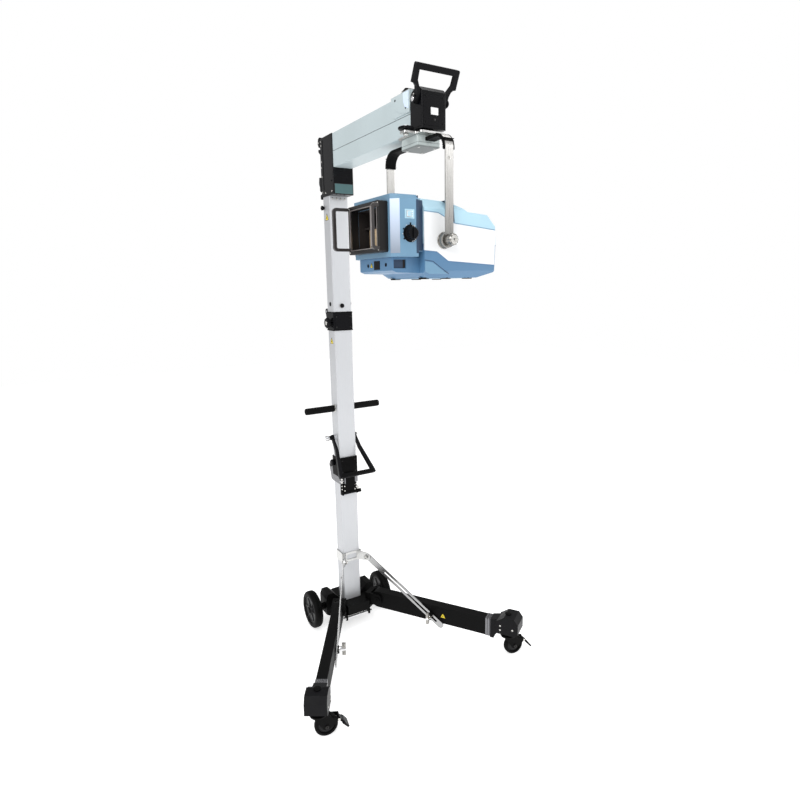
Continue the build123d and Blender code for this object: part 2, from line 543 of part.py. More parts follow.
def strap_band(grow, half_width):
    """Add the yoke's bent band, its section grown by a margin all round."""
    outer_half = YOKE_HALF + STRAP_T / 2 + grow
    inner_half = YOKE_HALF - STRAP_T / 2 - grow
    top = STRAP_TOP + grow
    tall = 700.0
    with BuildSketch(Plane.YZ.offset(-half_width)) as band:
        with Locations((YOKE_Y, top - tall / 2)):
            RectangleRounded(2 * outer_half, tall, STRAP_R + grow)
        with Locations((YOKE_Y, top - STRAP_T - 2 * grow - tall / 2)):
            RectangleRounded(2 * inner_half, tall, STRAP_R - STRAP_T - grow, mode=Mode.SUBTRACT)
        with Locations((YOKE_Y, top - tall)):
            Rectangle(2 * outer_half + 10, 2 * (tall - 340), mode=Mode.SUBTRACT)
    extrude(band.sketch, amount=2 * half_width)


BOSS_R, STUD_R = 22.0, 8.0
NEAR_IN = YOKE_HALF - STRAP_T / 2       # half the gap between the arms
with BuildPart() as yoke_strap:
    strap_band(0, STRAP_W / 2)
    with BuildSketch(Plane.XZ.offset(-YOKE_Y - 300)) as arm_front:
        with Locations((0, TILT_Z + 200)):
            Rectangle(STRAP_W, 400)
        with Locations((0, TILT_Z)):
            Circle(STRAP_W / 2)
    extrude(arm_front.sketch, amount=600, mode=Mode.INTERSECT)
    bar_y(STUD_R + RUN, YOKE_Y - 300, YOKE_Y + 300, 0, TILT_Z, Mode.SUBTRACT)
save(yoke_strap, "yoke_strap")

with BuildPart() as yoke_grips:
    strap_band(5, 18)
    block(-60, 60, -670, -572, 1500, 2000, Mode.SUBTRACT)
    block(-60, 60, YOKE_Y - 300, YOKE_Y + 300, 1500, 1862, Mode.SUBTRACT)
    fillet(yoke_grips.edges().filter_by(Axis.Z), 2)
with BuildPart() as under_strap:
    with BuildSketch(Plane.YZ.offset(-40)) as inside:
        with Locations((YOKE_Y, STRAP_TOP - 350)):
            RectangleRounded(2 * YOKE_HALF + STRAP_T, 700, STRAP_R)
    extrude(inside.sketch, amount=80)
with BuildPart() as strap_space:
    strap_band(0, STRAP_W / 2)
with BuildPart() as grips_round_strap:
    add(yoke_grips.part)
    add(strap_space.part, mode=Mode.SUBTRACT)
    add(under_strap.part, mode=Mode.INTERSECT)
save(grips_round_strap, "yoke_grips")


with BuildPart() as tilt_knob_near:
    bar_y(16, YOKE_Y - YOKE_HALF - 26, YOKE_Y - YOKE_HALF - 2.6, 0, TILT_Z)
    chamfer(tilt_knob_near.edges().filter_by(GeomType.CIRCLE).group_by(Axis.Y)[0], 2)
    for k in range(4):
        bar_y(4, YOKE_Y - YOKE_HALF - 26, YOKE_Y - YOKE_HALF - 8, 18 * cos(radians(90 * k + 45)),
              TILT_Z + 18 * sin(radians(90 * k + 45)), Mode.SUBTRACT)
    bar_y(STUD_R + RUN, YOKE_Y - YOKE_HALF - 16, YOKE_Y - YOKE_HALF, 0, TILT_Z, Mode.SUBTRACT)
save(tilt_knob_near, "tilt_knob_near")

with BuildPart() as tilt_knob_far:
    add(mirror(tilt_knob_near.part, about=Plane.XZ.offset(-YOKE_Y)))
save(tilt_knob_far, "tilt_knob_far")

# ---------------------------------------------------------------- tube head
SEAM_Z = 1600.0
BODY_PROFILE = [
    (-70, 1730), (8, 1725), (41, 1719), (71, 1707), (86, 1696), (164, 1690), (197, 1656), (199, 1600),
    (195, 1517), (138, 1501), (-55, 1503), (-70, 1516),
]
END_PROFILE = [
    (-128, 1700), (-100, 1732), (100, 1732), (128, 1700), (128, 1522), (108, 1500), (-108, 1500), (-128, 1522),
]
PANEL_PROFILE = [
    (-70, 1691), (-21, 1688), (8, 1675), (41, 1660), (198, 1645), (195, 1540), (16, 1551), (-26, 1578), (-70, 1581),
]


def body_solid(inset):
    """The tube head's outer form, shrunk by an inset all round."""
    with BuildPart() as form:
        with BuildSketch(Plane.XZ.offset(-UNIT_Y - 200)) as side_view:
            Polygon(*BODY_PROFILE, align=None)
            if inset:
                offset(amount=-inset, kind=Kind.INTERSECTION)
        extrude(side_view.sketch, amount=400)
        with BuildSketch(Plane.YZ.offset(-300)) as end_view:
            with Locations((UNIT_Y, 0)):
                Polygon(*END_PROFILE, align=None)
            if inset:
                offset(amount=-inset, kind=Kind.INTERSECTION)
        extrude(end_view.sketch, amount=600, mode=Mode.INTERSECT)
    return form.part


def panel_solid(y0, y1):
    """One white side panel between two planes across the head."""
    with BuildPart() as panel:
        plate_xz(PANEL_PROFILE, y0, y1)
    return panel.part


outer_form = body_solid(0)
inner_form = body_solid(SHELL_WALL)
NEAR, FAR = UNIT_Y - UNIT_HALF, UNIT_Y + UNIT_HALF

with BuildPart() as side_panels:
    add(panel_solid(NEAR, NEAR + PANEL_T))
    add(panel_solid(FAR - PANEL_T, FAR))
    bar_y(12, NEAR - 1, FAR + 1, 0, TILT_Z, Mode.SUBTRACT)
save(side_panels, "side_panels")

with BuildPart() as unit_upper_shell:
    add(outer_form)
    add(inner_form, mode=Mode.SUBTRACT)
    block(-300, 300, NEAR - 5, FAR + 5, 1400, SEAM_Z, Mode.SUBTRACT)
    add(panel_solid(NEAR - 1, NEAR + PANEL_T), mode=Mode.SUBTRACT)
    add(panel_solid(FAR - PANEL_T, FAR + 1), mode=Mode.SUBTRACT)
    bar_y(12, NEAR - 1, FAR + 1, 0, TILT_Z, Mode.SUBTRACT)
    # round flange the collimator bolts to
    block(-80, -60, UNIT_Y - 60, UNIT_Y + 60, 1602, 1700, Mode.SUBTRACT)
save(unit_upper_shell, "unit_upper_shell")

with BuildPart() as unit_lower_shell:
    add(outer_form)
    add(inner_form, mode=Mode.SUBTRACT)
    block(-300, 300, NEAR - 5, FAR + 5, SEAM_Z, 1800, Mode.SUBTRACT)
    add(panel_solid(NEAR - 1, NEAR + PANEL_T), mode=Mode.SUBTRACT)
    add(panel_solid(FAR - PANEL_T, FAR + 1), mode=Mode.SUBTRACT)
    bar_y(12, NEAR - 1, FAR + 1, 0, TILT_Z, Mode.SUBTRACT)
    # electronics foot under the collimator
    plate_xz([(-165, 1524), (-150, 1518), (-70, 1516), (-70, 1561.5), (-165, 1561.5)], UNIT_Y - 100, UNIT_Y + 100)
    block(-159, -76, UNIT_Y - 94, UNIT_Y + 94, 1530, 1555, Mode.SUBTRACT)
    block(-160, -118, UNIT_Y - 101, UNIT_Y - 88, 1530, 1555, Mode.SUBTRACT)
    # saddles the tank stands on
    for x0, x1 in ((-30, -10), (120, 140)):
        block(x0, x1, UNIT_Y - 80, UNIT_Y + 80, 1506, 1524)
save(unit_lower_shell, "unit_lower_shell")

with BuildPart() as monobloc_tank:
    block(-38, 158, UNIT_Y - 88, UNIT_Y + 88, 1524, 1668)
    fillet(monobloc_tank.edges().filter_by(Axis.Y), 10)
    bar_x(29, -90, -38, UNIT_Y, 1648)
    bar_x(23, -90, -60, UNIT_Y, 1648, Mode.SUBTRACT)
save(monobloc_tank, "monobloc_tank")

COLL_Y0, COLL_Y1 = -742.0, -482.0
COLL_Z0, COLL_Z1 = 1562.0, 1736.0
WINDOW_Y0, WINDOW_Y1 = -696.0, -530.0
WINDOW_Z0, WINDOW_Z1 = 1590.0, 1706.0
DIAL_X, DIAL_Z = -119.0, 1627.0
BUTTON_X, BUTTON_Z = -125.0, 1681.0
with BuildPart() as collimator_housing:
    block(-175, -92, COLL_Y0, COLL_Y1, COLL_Z0, COLL_Z1)
    chamfer(collimator_housing.edges().filter_by(Axis.Z).group_by(Axis.X)[0], 20)
    chamfer(collimator_housing.edges().filter_by(Axis.X).group_by(Axis.Z)[-1], 12)
    block(-92, -70.2, UNIT_Y - 118, UNIT_Y + 118, 1578, 1722)
    block(-176, -150, WINDOW_Y0, WINDOW_Y1, WINDOW_Z0, WINDOW_Z1, Mode.SUBTRACT)
    block(-152, -110, WINDOW_Y0, WINDOW_Y1, WINDOW_Z0, WINDOW_Z1, Mode.SUBTRACT)
    # ledge the shutters run along
    block(-154, -136, WINDOW_Y0, WINDOW_Y1, WINDOW_Z0, 1595.5)
    block(-154, -136, WINDOW_Y0, WINDOW_Y1, 1652.5, 1658)
    # side pockets behind the dial and the button
    block(-148, -98, COLL_Y0 + 6, WINDOW_Y0 - 5, 1570, 1728, Mode.SUBTRACT)
    block(-148, -98, WINDOW_Y1 + 5, COLL_Y1 - 6, 1570, 1728, Mode.SUBTRACT)
    bar_x(30, -111, -70, UNIT_Y, 1648, Mode.SUBTRACT)
    block(-104, -70, UNIT_Y - 88, UNIT_Y - 38, 1590, 1712, Mode.SUBTRACT)
    block(-104, -70, UNIT_Y + 38, UNIT_Y + 88, 1590, 1712, Mode.SUBTRACT)
    bar_y(5.0 + RUN, COLL_Y0 - 1, COLL_Y0 + 8, DIAL_X, DIAL_Z, Mode.SUBTRACT)
    block(BUTTON_X - 6.8, BUTTON_X + 6.8, COLL_Y0 - 1, COLL_Y0 + 8, BUTTON_Z - 8.3, BUTTON_Z + 8.3, Mode.SUBTRACT)
# the housing is two cheeks, two bars and a rail screwed to a core
PANEL_BOXES = [
    (-180, -92, COLL_Y0 - 1, WINDOW_Y0, 1550, 1740), (-180, -92, WINDOW_Y1, COLL_Y1 + 1, 1550, 1740),
    (-180, -110, WINDOW_Y0, WINDOW_Y1, WINDOW_Z1, 1740), (-180, -110, WINDOW_Y0, WINDOW_Y1, 1550, 1600),
    (-180, -110, WINDOW_Y0, WINDOW_Y1, 1640, 1670),
]
with BuildPart() as housing_core:
    add(collimator_housing.part)
    for box in PANEL_BOXES:
        block(*box, Mode.SUBTRACT)
panels = list(housing_core.part.solids())
for box in PANEL_BOXES:
    with BuildPart() as panel:
        add(collimator_housing.part)
        block(*box, Mode.INTERSECT)
    panels += panel.part.solids()
housing = Compound(panels)
housing.label = "collimator_housing"
export_step(housing, "parts/collimator_housing.step")

with BuildPart() as window_frame:
    block(-204, -175, WINDOW_Y0 - 14, WINDOW_Y1 + 14, WINDOW_Z0 - 14, WINDOW_Z1 + 13)
    fillet(window_frame.edges().filter_by(Axis.X), 6)
    block(-205, -174, WINDOW_Y0 - 1, WINDOW_Y1 + 1, WINDOW_Z0 - 1, WINDOW_Z1 + 1, Mode.SUBTRACT)
save(window_frame, "window_frame")

with BuildPart() as guard_loops:
    for y_mid, x_tip, z0, z1 in ((-520, -259, 1587, 1716), (-705, -228, 1583, 1710)):
        with BuildSketch(Plane.XZ.offset(-y_mid - 5)) as loop:
            with Locations(((x_tip - 150) / 2, (z0 + z1) / 2)):
                RectangleRounded(-150 - x_tip, z1 - z0, 11)
                RectangleRounded(-150 - x_tip - 18, z1 - z0 - 18, 5, mode=Mode.SUBTRACT)
            with Locations((-144, (z0 + z1) / 2)):
                Rectangle(120, 200, mode=Mode.SUBTRACT)
        extrude(loop.sketch, amount=10)
save(guard_loops, "guard_loops")

for y0, y1, end in ((-684, -636, "left"), (-600, -548, "right")):
    with BuildPart() as shutter:
        block(-147, -143, y0, y1, 1595.8, 1652.2)
        fillet(shutter.edges().filter_by(Axis.X), 1.0)
    save(shutter, "shutter_" + end)

with BuildPart() as dial_knob:
    bar_y(5.0, COLL_Y0 - 12, COLL_Y0 + 10, DIAL_X, DIAL_Z)
    bar_y(20, COLL_Y0 - 6, COLL_Y0 - GAP, DIAL_X, DIAL_Z)
    bar_y(16, COLL_Y0 - 18, COLL_Y0 - 6, DIAL_X, DIAL_Z)
    block(DIAL_X - 3, DIAL_X + 3, COLL_Y0 - 22, COLL_Y0 - 18, DIAL_Z - 15, DIAL_Z + 15)
save(dial_knob, "dial_knob")

with BuildPart() as light_button:
    block(BUTTON_X - 6.5, BUTTON_X + 6.5, COLL_Y0 - 4, COLL_Y0 + 9, BUTTON_Z - 8, BUTTON_Z + 8)
    block(BUTTON_X - 8.5, BUTTON_X + 8.5, COLL_Y0 + 6.3, COLL_Y0 + 9, BUTTON_Z - 10, BUTTON_Z + 10)
save(light_button, "light_button")

with BuildPart() as pivot_bosses:
    for side in (1, -1):
        face = UNIT_Y + side * (UNIT_HALF - 10)
        strap = YOKE_Y + side * (NEAR_IN - GAP)
        tip = YOKE_Y + side * (YOKE_HALF + 14)
        y_lo, y_hi = sorted((UNIT_Y + side * UNIT_HALF, strap))
        bar_y(BOSS_R, y_lo, y_hi, 0, TILT_Z)
        y_lo, y_hi = sorted((face, UNIT_Y + side * UNIT_HALF))
        bar_y(12, y_lo, y_hi, 0, TILT_Z)
        y_lo, y_hi = sorted((strap, tip))
        bar_y(STUD_R, y_lo, y_hi, 0, TILT_Z)
save(pivot_bosses, "pivot_bosses")

with BuildPart() as rubber_feet:
    for x in (-44, 37, 120):
        for y in (-84, 84):
            bar_z(9, 1498, 1503.5, x, UNIT_Y + y)
    add(outer_form, mode=Mode.SUBTRACT)
save(rubber_feet, "rubber_feet")

# ---------------------------------------------------------------- fasteners
with BuildPart() as base_fasteners:
    for x in (-37, 31):
        for z in (628, 642):
            bar_y(2.6, -40.5, -38, x, z)
    bar_x(7.0, 40, 50, -20, 617)
save(base_fasteners, "base_fasteners")

with BuildPart() as head_fasteners:
    for x in (-26, -9, 9, 26):
        bar_y(3.5, -33.5, -30, x, 1818)
    for z in (1846, 1905, 1960, 2020):
        bar_x(4.0, -46, -43, 18, z)
        bar_x(4.0, 43, 46, 18, z)
    bar_x(6.0, 40, 46, 0, 1411)
    bar_y(8.0, -34, -30, -6, 1404)
save(head_fasteners, "head_fasteners")
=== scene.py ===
"""Looks, dressing, light and camera for the portable X-ray unit on its column stand."""
from math import cos, pi, radians, sin

import bmesh
import bpy
from mathutils import Matrix, Vector


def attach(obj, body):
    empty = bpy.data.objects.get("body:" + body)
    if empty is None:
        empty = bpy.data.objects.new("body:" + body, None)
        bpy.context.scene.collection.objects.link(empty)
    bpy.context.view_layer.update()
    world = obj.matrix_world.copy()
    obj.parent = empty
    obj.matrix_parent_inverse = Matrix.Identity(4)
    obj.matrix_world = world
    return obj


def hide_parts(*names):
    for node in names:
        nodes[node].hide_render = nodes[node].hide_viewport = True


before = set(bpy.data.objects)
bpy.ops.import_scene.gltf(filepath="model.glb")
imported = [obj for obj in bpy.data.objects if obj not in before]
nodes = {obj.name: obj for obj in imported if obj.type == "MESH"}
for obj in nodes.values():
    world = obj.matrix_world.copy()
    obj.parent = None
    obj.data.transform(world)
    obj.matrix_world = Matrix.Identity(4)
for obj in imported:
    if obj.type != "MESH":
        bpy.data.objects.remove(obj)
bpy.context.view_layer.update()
scene = bpy.context.scene
SIDES = ((1, "right"), (-1, "left"))
NEAR_FAR = (("near", -1), ("far", 1))
SHARP_ANGLE = radians(32)           # edges sharper than this are bevelled and shaded flat
BEVEL_STEPS = 3


# ---------------------------------------------------------------- materials
def new_material(name, colour, rough, metal=0.0, coat=0.0, **sockets):
    """A principled material with its constants set on the shader."""
    mat = bpy.data.materials.new(name)
    mat.use_nodes = True
    shader = mat.node_tree.nodes["Principled BSDF"]
    shader.inputs["Base Color"].default_value = (*colour, 1)
    shader.inputs["Roughness"].default_value = rough
    shader.inputs["Metallic"].default_value = metal
    if coat:
        shader.inputs["Coat Weight"].default_value = coat
        shader.inputs["Coat Roughness"].default_value = 0.08
    for key, value in sockets.items():
        shader.inputs[key.replace("_", " ")].default_value = value
    return mat


def noise(mat, scale, stretch=(1, 1, 1), detail=4.0):
    """A noise texture in object coordinates, in metres."""
    tree = mat.node_tree
    coord = tree.nodes.new("ShaderNodeTexCoord")
    mapping = tree.nodes.new("ShaderNodeMapping")
    mapping.inputs["Scale"].default_value = stretch
    texture = tree.nodes.new("ShaderNodeTexNoise")
    texture.inputs["Scale"].default_value = scale
    texture.inputs["Detail"].default_value = detail
    tree.links.new(coord.outputs["Object"], mapping.inputs["Vector"])
    tree.links.new(mapping.outputs["Vector"], texture.inputs["Vector"])
    return texture.outputs["Fac"]


def vary_colour(mat, factor, dark, light, low=0.35, high=0.65):
    """Colour between two values by a factor."""
    tree = mat.node_tree
    ramp = tree.nodes.new("ShaderNodeValToRGB")
    ramp.color_ramp.elements[0].position = low
    ramp.color_ramp.elements[1].position = high
    ramp.color_ramp.elements[0].color = (*dark, 1)
    ramp.color_ramp.elements[1].color = (*light, 1)
    tree.links.new(factor, ramp.inputs["Fac"])
    tree.links.new(ramp.outputs["Color"], tree.nodes["Principled BSDF"].inputs["Base Color"])


def vary_rough(mat, factor, low, high):
    """Roughness between two values by a factor."""
    tree = mat.node_tree
    span = tree.nodes.new("ShaderNodeMapRange")
    span.inputs["From Min"].default_value = 0.3
    span.inputs["From Max"].default_value = 0.7
    span.inputs["To Min"].default_value = low
    span.inputs["To Max"].default_value = high
    tree.links.new(factor, span.inputs["Value"])
    tree.links.new(span.outputs["Result"], tree.nodes["Principled BSDF"].inputs["Roughness"])


def add_bump(mat, factor, depth, strength=0.4):
    """Bump of a depth in metres by a factor."""
    tree = mat.node_tree
    bump = tree.nodes.new("ShaderNodeBump")
    bump.inputs["Strength"].default_value = strength
    bump.inputs["Distance"].default_value = depth
    tree.links.new(factor, bump.inputs["Height"])
    tree.links.new(bump.outputs["Normal"], tree.nodes["Principled BSDF"].inputs["Normal"])


def tint(colour, k):
    """A colour made darker or lighter."""
    return tuple(min(1.0, c * k) for c in colour)


def paint(name, colour, rough=0.4, coat=0.0, peel=900, wear=0.06, shine=0.5):
    """Paint or powder coat with orange peel and slight mottling."""
    mat = new_material(name, colour, rough, coat=coat, Specular_IOR_Level=shine)
    broad = noise(mat, 6.0)
    vary_colour(mat, broad, tint(colour, 1 - wear), tint(colour, 1 + wear))
    fine = noise(mat, peel, detail=2.0)
    vary_rough(mat, broad, rough * 0.85, min(1.0, rough * 1.15))
    add_bump(mat, fine, 0.00012, 0.25)
    return mat


def plastic(name, colour, rough=0.38, grain=1400, wear=0.05, coat=0.0, shine=0.5):
    """Moulded plastic with fine grain."""
    mat = new_material(name, colour, rough, coat=coat, Specular_IOR_Level=shine)
    broad = noise(mat, 5.0)
    vary_colour(mat, broad, tint(colour, 1 - wear), tint(colour, 1 + wear))
    vary_rough(mat, noise(mat, 40.0), rough * 0.88, min(1.0, rough * 1.12))
    add_bump(mat, noise(mat, grain, detail=2.0), 0.00010, 0.2)
    return mat


def brushed(name, colour, rough=0.3, along=(1, 1, 0.02), metal=1.0, wear=0.07):
    """Brushed metal with grain along one direction."""
    mat = new_material(name, colour, rough, metal=metal)
    grain = noise(mat, 900.0, along, detail=3.0)
    vary_colour(mat, grain, tint(colour, 1 - wear), tint(colour, 1 + wear))
    vary_rough(mat, grain, rough * 0.8, rough * 1.25)
    add_bump(mat, grain, 0.00005, 0.2)
    return mat


def by_height(mat, z0, z1, low, high):
    """Painted shade and highlight by height: the colour times a grey from low at z0 to high at z1, in
    metres.
    """
    tree = mat.node_tree
    shader = tree.nodes["Principled BSDF"]
    coord = tree.nodes.new("ShaderNodeTexCoord")
    split = tree.nodes.new("ShaderNodeSeparateXYZ")
    span = tree.nodes.new("ShaderNodeMapRange")
    span.inputs["From Min"].default_value = z0
    span.inputs["From Max"].default_value = z1
    span.inputs["To Min"].default_value = low
    span.inputs["To Max"].default_value = high
    mix = tree.nodes.new("ShaderNodeMixRGB")
    mix.blend_type = "MULTIPLY"
    mix.inputs["Fac"].default_value = 1.0
    source = shader.inputs["Base Color"].links[0].from_socket
    tree.links.new(coord.outputs["Object"], split.inputs["Vector"])
    tree.links.new(split.outputs["Z"], span.inputs["Value"])
    tree.links.new(source, mix.inputs["Color1"])
    tree.links.new(span.outputs["Result"], mix.inputs["Color2"])
    tree.links.new(mix.outputs["Color"], shader.inputs["Base Color"])


def round_edges(obj, width):
    """A bevel of a width in mm along the sharp edges."""
    bevel = obj.modifiers.new("edge", "BEVEL")
    bevel.width = width / 1000
    bevel.segments = BEVEL_STEPS
    bevel.limit_method = "ANGLE"
    bevel.angle_limit = SHARP_ANGLE
    bevel.harden_normals = True


MATERIALS = {
    "black": paint("black_powder_coat", (0.003, 0.003, 0.003), 0.52, peel=700, shine=0.07),
    "gloss_black": paint("gloss_black", (0.003, 0.003, 0.004), 0.20, coat=0.05, peel=300, shine=0.14),
    "column": brushed("anodised_column", (0.58, 0.59, 0.61), 0.42, (1, 1, 0.015), metal=0.5, wear=0.03),
    "boom": paint("boom_paint", (0.50, 0.58, 0.60), 0.38, peel=800, wear=0.03),
    "boom_dark": paint("boom_seam", (0.10, 0.12, 0.13), 0.6),
    "steel_flat": brushed("brushed_plate", (0.62, 0.62, 0.61), 0.30, (0.02, 1, 1)),
    "chrome": brushed("polished_steel", (0.72, 0.72, 0.73), 0.12, (1, 1, 1), wear=0.03),
    "zinc": brushed("zinc_screws", (0.66, 0.65, 0.62), 0.26, (1, 1, 1)),
    "rubber": plastic("black_rubber", (0.003, 0.003, 0.003), 0.62, grain=600, shine=0.08),
    "tyre": plastic("tyre_rubber", (0.003, 0.003, 0.003), 0.58, grain=500, shine=0.08),
    "hub": plastic("hub_plastic", (0.008, 0.008, 0.009), 0.38, shine=0.22),
    "black_plastic": plastic("black_plastic", (0.003, 0.003, 0.004), 0.40, shine=0.12),
    "blue": plastic("blue_shell", (0.155, 0.300, 0.440), 0.34),
    "light_blue": plastic("light_blue_shell", (0.42, 0.64, 0.76), 0.34),
    "deep_blue": plastic("deep_blue_shell", (0.085, 0.200, 0.350), 0.36),
    "navy": plastic("navy_neck", (0.018, 0.045, 0.095), 0.40),
    "white": plastic("white_panel", (0.86, 0.87, 0.88), 0.32, wear=0.01),
    "frame": paint("frame_paint", (0.010, 0.009, 0.009), 0.32, coat=0.05, shine=0.3),
    "loop": paint("loop_paint", (0.035, 0.031, 0.031), 0.32, coat=0.15),
    "strap": brushed("brushed_strap_painted_reflection", (0.62, 0.61, 0.59), 0.30, (1, 1, 0.02)),
    "stay_steel": brushed("stay_steel", (0.40, 0.40, 0.40), 0.22, (1, 1, 1), wear=0.03),
    "socket": brushed("socket_steel", (0.20, 0.20, 0.21), 0.28, (1, 0.02, 1)),
    "frame_edge": brushed("frame_edge", (0.46, 0.43, 0.42), 0.35, (1, 1, 0.1)),
    "cavity": paint("cavity_black", (0.012, 0.008, 0.007), 0.75),
    "brass": brushed("shutter_brass", (0.66, 0.50, 0.31), 0.55, (1, 0.05, 1), metal=0.0),
    "block": paint("block_paint_with_painted_shade", (0.50, 0.56, 0.55), 0.36, peel=600, wear=0.02),
    "knob": brushed("knob_steel", (0.34, 0.33, 0.31), 0.26, (1, 1, 1), wear=0.04),
    "band": plastic("edge_band", (0.66, 0.77, 0.95), 0.34),
    "tank": paint("tank_primer", (0.32, 0.33, 0.34), 0.5),
    "yellow": paint("mark_yellow", (0.85, 0.66, 0.03), 0.45),
    "teal": paint("gloss_plate", (0.055, 0.130, 0.135), 0.10, coat=1.0, peel=200),
    "tag": plastic("white_tag", (0.80, 0.80, 0.80), 0.4),
    "lamp": new_material("small_lamp", (0.95, 0.95, 0.92), 0.2),
}
# painted reflection on the strap: lighter towards the top, darker towards the bottom
by_height(MATERIALS["strap"], 1.62, 1.86, 0.42, 1.15)
# painted shade on the yoke block: its underside is darkened
by_height(MATERIALS["block"], 1.8883, 1.8925, 0.22, 1.0)
# painted highlight on the collimator's edge bands: darker towards the bottom, lighter towards the top
by_height(MATERIALS["band"], 1.58, 1.73, 0.42, 1.10)

NODE_MATERIAL = {
    "base_block": "black", "rear_axle": "black", "tow_rod": "chrome", "base_post": "column",
    "stay_bracket": "steel_flat", "hinge_socket": "socket", "latch_keeper": "black",
    "base_fasteners": "zinc", "hinge_head": "black", "lower_mast": "column",
    "push_bar": "steel_flat", "push_grips": "rubber", "handle_pivot": "chrome",
    "folding_handle": "black_plastic", "latch_lever": "black", "mid_collar": "gloss_black",
    "upper_mast": "column", "collar_knob": "black_plastic", "head_bracket": "gloss_black",
    "boom": "boom", "boom_cover": "boom", "nose_box": "gloss_black",
    "carry_handle": "black_plastic", "swivel_plate": "steel_flat",
    "swivel_lock_knob": "black_plastic", "head_fasteners": "zinc", "yoke_block": "block",
    "yoke_strap": "strap", "yoke_grips": "rubber", "tilt_knob_near": "knob",
    "tilt_knob_far": "knob", "unit_upper_shell": "light_blue", "unit_lower_shell": "deep_blue",
    "side_panels": "white", "collimator_housing": "blue", "window_frame": "frame",
    "guard_loops": "loop", "shutter_left": "brass", "shutter_right": "brass",
    "dial_knob": "black_plastic", "light_button": "tag", "monobloc_tank": "tank",
    "pivot_bosses": "knob", "rubber_feet": "rubber",
}
for end in ("left", "right"):
    NODE_MATERIAL.update({
        "leg_" + end: "black", "caster_mount_" + end: "black_plastic", "stay_knob_" + end: "knob",
        "stay_" + end: "stay_steel", "caster_fork_" + end: "black", "caster_wheel_" + end: "tyre",
        "brake_pedal_" + end: "black_plastic", "rear_wheel_" + end: "tyre",
    })

BEVEL_MM = {
    "unit_upper_shell": 5.0, "unit_lower_shell": 5.0, "collimator_housing": 0.5, "folding_handle": 3.0,
    "carry_handle": 4.0, "boom": 0.8, "side_panels": 1.2, "yoke_strap": 0.6, "caster_mount_left": 3.0,
    "caster_mount_right": 3.0, "leg_left": 1.5, "leg_right": 1.5, "guard_loops": 1.6, "stay_left": 0.5,
    "stay_right": 0.5,
}
for name, obj in nodes.items():
    material = MATERIALS[NODE_MATERIAL[name]]
    if not obj.material_slots:
        obj.data.materials.append(material)
    for socket in obj.material_slots:
        socket.material = material
    round_edges(obj, BEVEL_MM.get(name, 1.0))


# ---------------------------------------------------------------- mesh helpers
def mm(*values):
    """Millimetres to metres."""
    return tuple(v / 1000 for v in values)


def finish_piece(name, mesh, material, body, bevel=0.0, smooth=True):
    """Link a mesh, give it a material and edges, and let it ride."""
    obj = bpy.data.objects.new(name, mesh)
    bpy.context.collection.objects.link(obj)
    mesh.materials.append(MATERIALS[material])
    for face in mesh.polygons:
        face.use_smooth = smooth
    if bevel:
        round_edges(obj, bevel)
    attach(obj, body)
    return obj


def mesh_from(bm, name):
    """A mesh from bmesh with outward normals."""
    bmesh.ops.recalc_face_normals(bm, faces=bm.faces)
    for edge in bm.edges:
        edge.smooth = len(edge.link_faces) == 2 and edge.calc_face_angle(0) < SHARP_ANGLE
    mesh = bpy.data.meshes.new(name)
    bm.to_mesh(mesh)
    bm.free()
    return mesh


def slab(name, lo, hi, material, body, bevel=1.0):
    """A box with rounded edges between two corners, in mm."""
    bm = bmesh.new()
    bmesh.ops.create_cube(bm, size=1)
    for v in bm.verts:
        v.co = Vector((lo[i] + (v.co[i] + 0.5) * (hi[i] - lo[i])) / 1000 for i in range(3))
    return finish_piece(name, mesh_from(bm, name), material, body, bevel)


def prism(name, points, place, material, body, bevel=0.6):
    """An outline extruded through a list of depths. place(u, v, w) gives the point in mm."""
    outline, w0, w1 = points
    bm = bmesh.new()
    low = [bm.verts.new(mm(*place(u, v, w0))) for u, v in outline]
    high = [bm.verts.new(mm(*place(u, v, w1))) for u, v in outline]
    bm.faces.new(low)
    bm.faces.new(high)
    count = len(outline)
    for i in range(count):
        bm.faces.new((low[i], low[(i + 1) % count], high[(i + 1) % count], high[i]))
    return finish_piece(name, mesh_from(bm, name), material, body, bevel)


def lathe(name, profile, centre, axis, material, body, steps=56, bevel=0.0):
    """A profile of (distance along, radius) turned about an axis, in mm."""
    axis = Vector(axis).normalized()
    side = axis.orthogonal().normalized()
    other = axis.cross(side)
    bm = bmesh.new()
    rings = []
    for along, radius in profile:
        base = Vector(centre) + axis * along
        ring = []
        for k in range(steps):
            angle = 2 * pi * k / steps
            ring.append(bm.verts.new((base + (side * cos(angle) + other * sin(angle)) * max(radius,
                                                                                            0.01)) / 1000))
        rings.append(ring)
    for a, b in zip(rings, rings[1:]):
        for k in range(steps):
            bm.faces.new((a[k], a[(k + 1) % steps], b[(k + 1) % steps], b[k]))
    bm.faces.new(rings[0])
    bm.faces.new(rings[-1])
    return finish_piece(name, mesh_from(bm, name), material, body, bevel)


def screw(name, centre, axis, radius, height, body, material="zinc"):
    """A domed screw head with a round socket."""
    profile = [(0, radius), (height * 0.55, radius), (height * 0.85, radius * 0.88),
               (height, radius * 0.62), (height, radius * 0.42), (height * 0.45, radius * 0.36)]
    return lathe(name, profile, centre, axis, material, body, steps=18)


def front(y):
    """Places an outline of (x, z) on a plane facing -Y; depth runs towards +Y."""
    return lambda u, v, w: (u, y + w, v)


def flank(x, side):
    """Places an outline of (y, z) on a plane facing along X on one side; depth runs inwards."""
    return lambda u, v, w: (x - side * w, u, v)


def level(u, v, w):
    """Places an outline of (x, y) lying level; depth runs up."""
    return u, v, w


def ring_outline(half_w, half_h, radius, steps=6):
    """A rounded rectangle round the origin."""
    points = []
    for cx, cy, start in ((1, 1, 0), (-1, 1, 90), (-1, -1, 180), (1, -1, 270)):
        for k in range(steps + 1):
            angle = radians(start + 90 * k / steps)
            points.append((cx * (half_w - radius) + radius * cos(angle),
                           cy * (half_h - radius) + radius * sin(angle)))
    return points


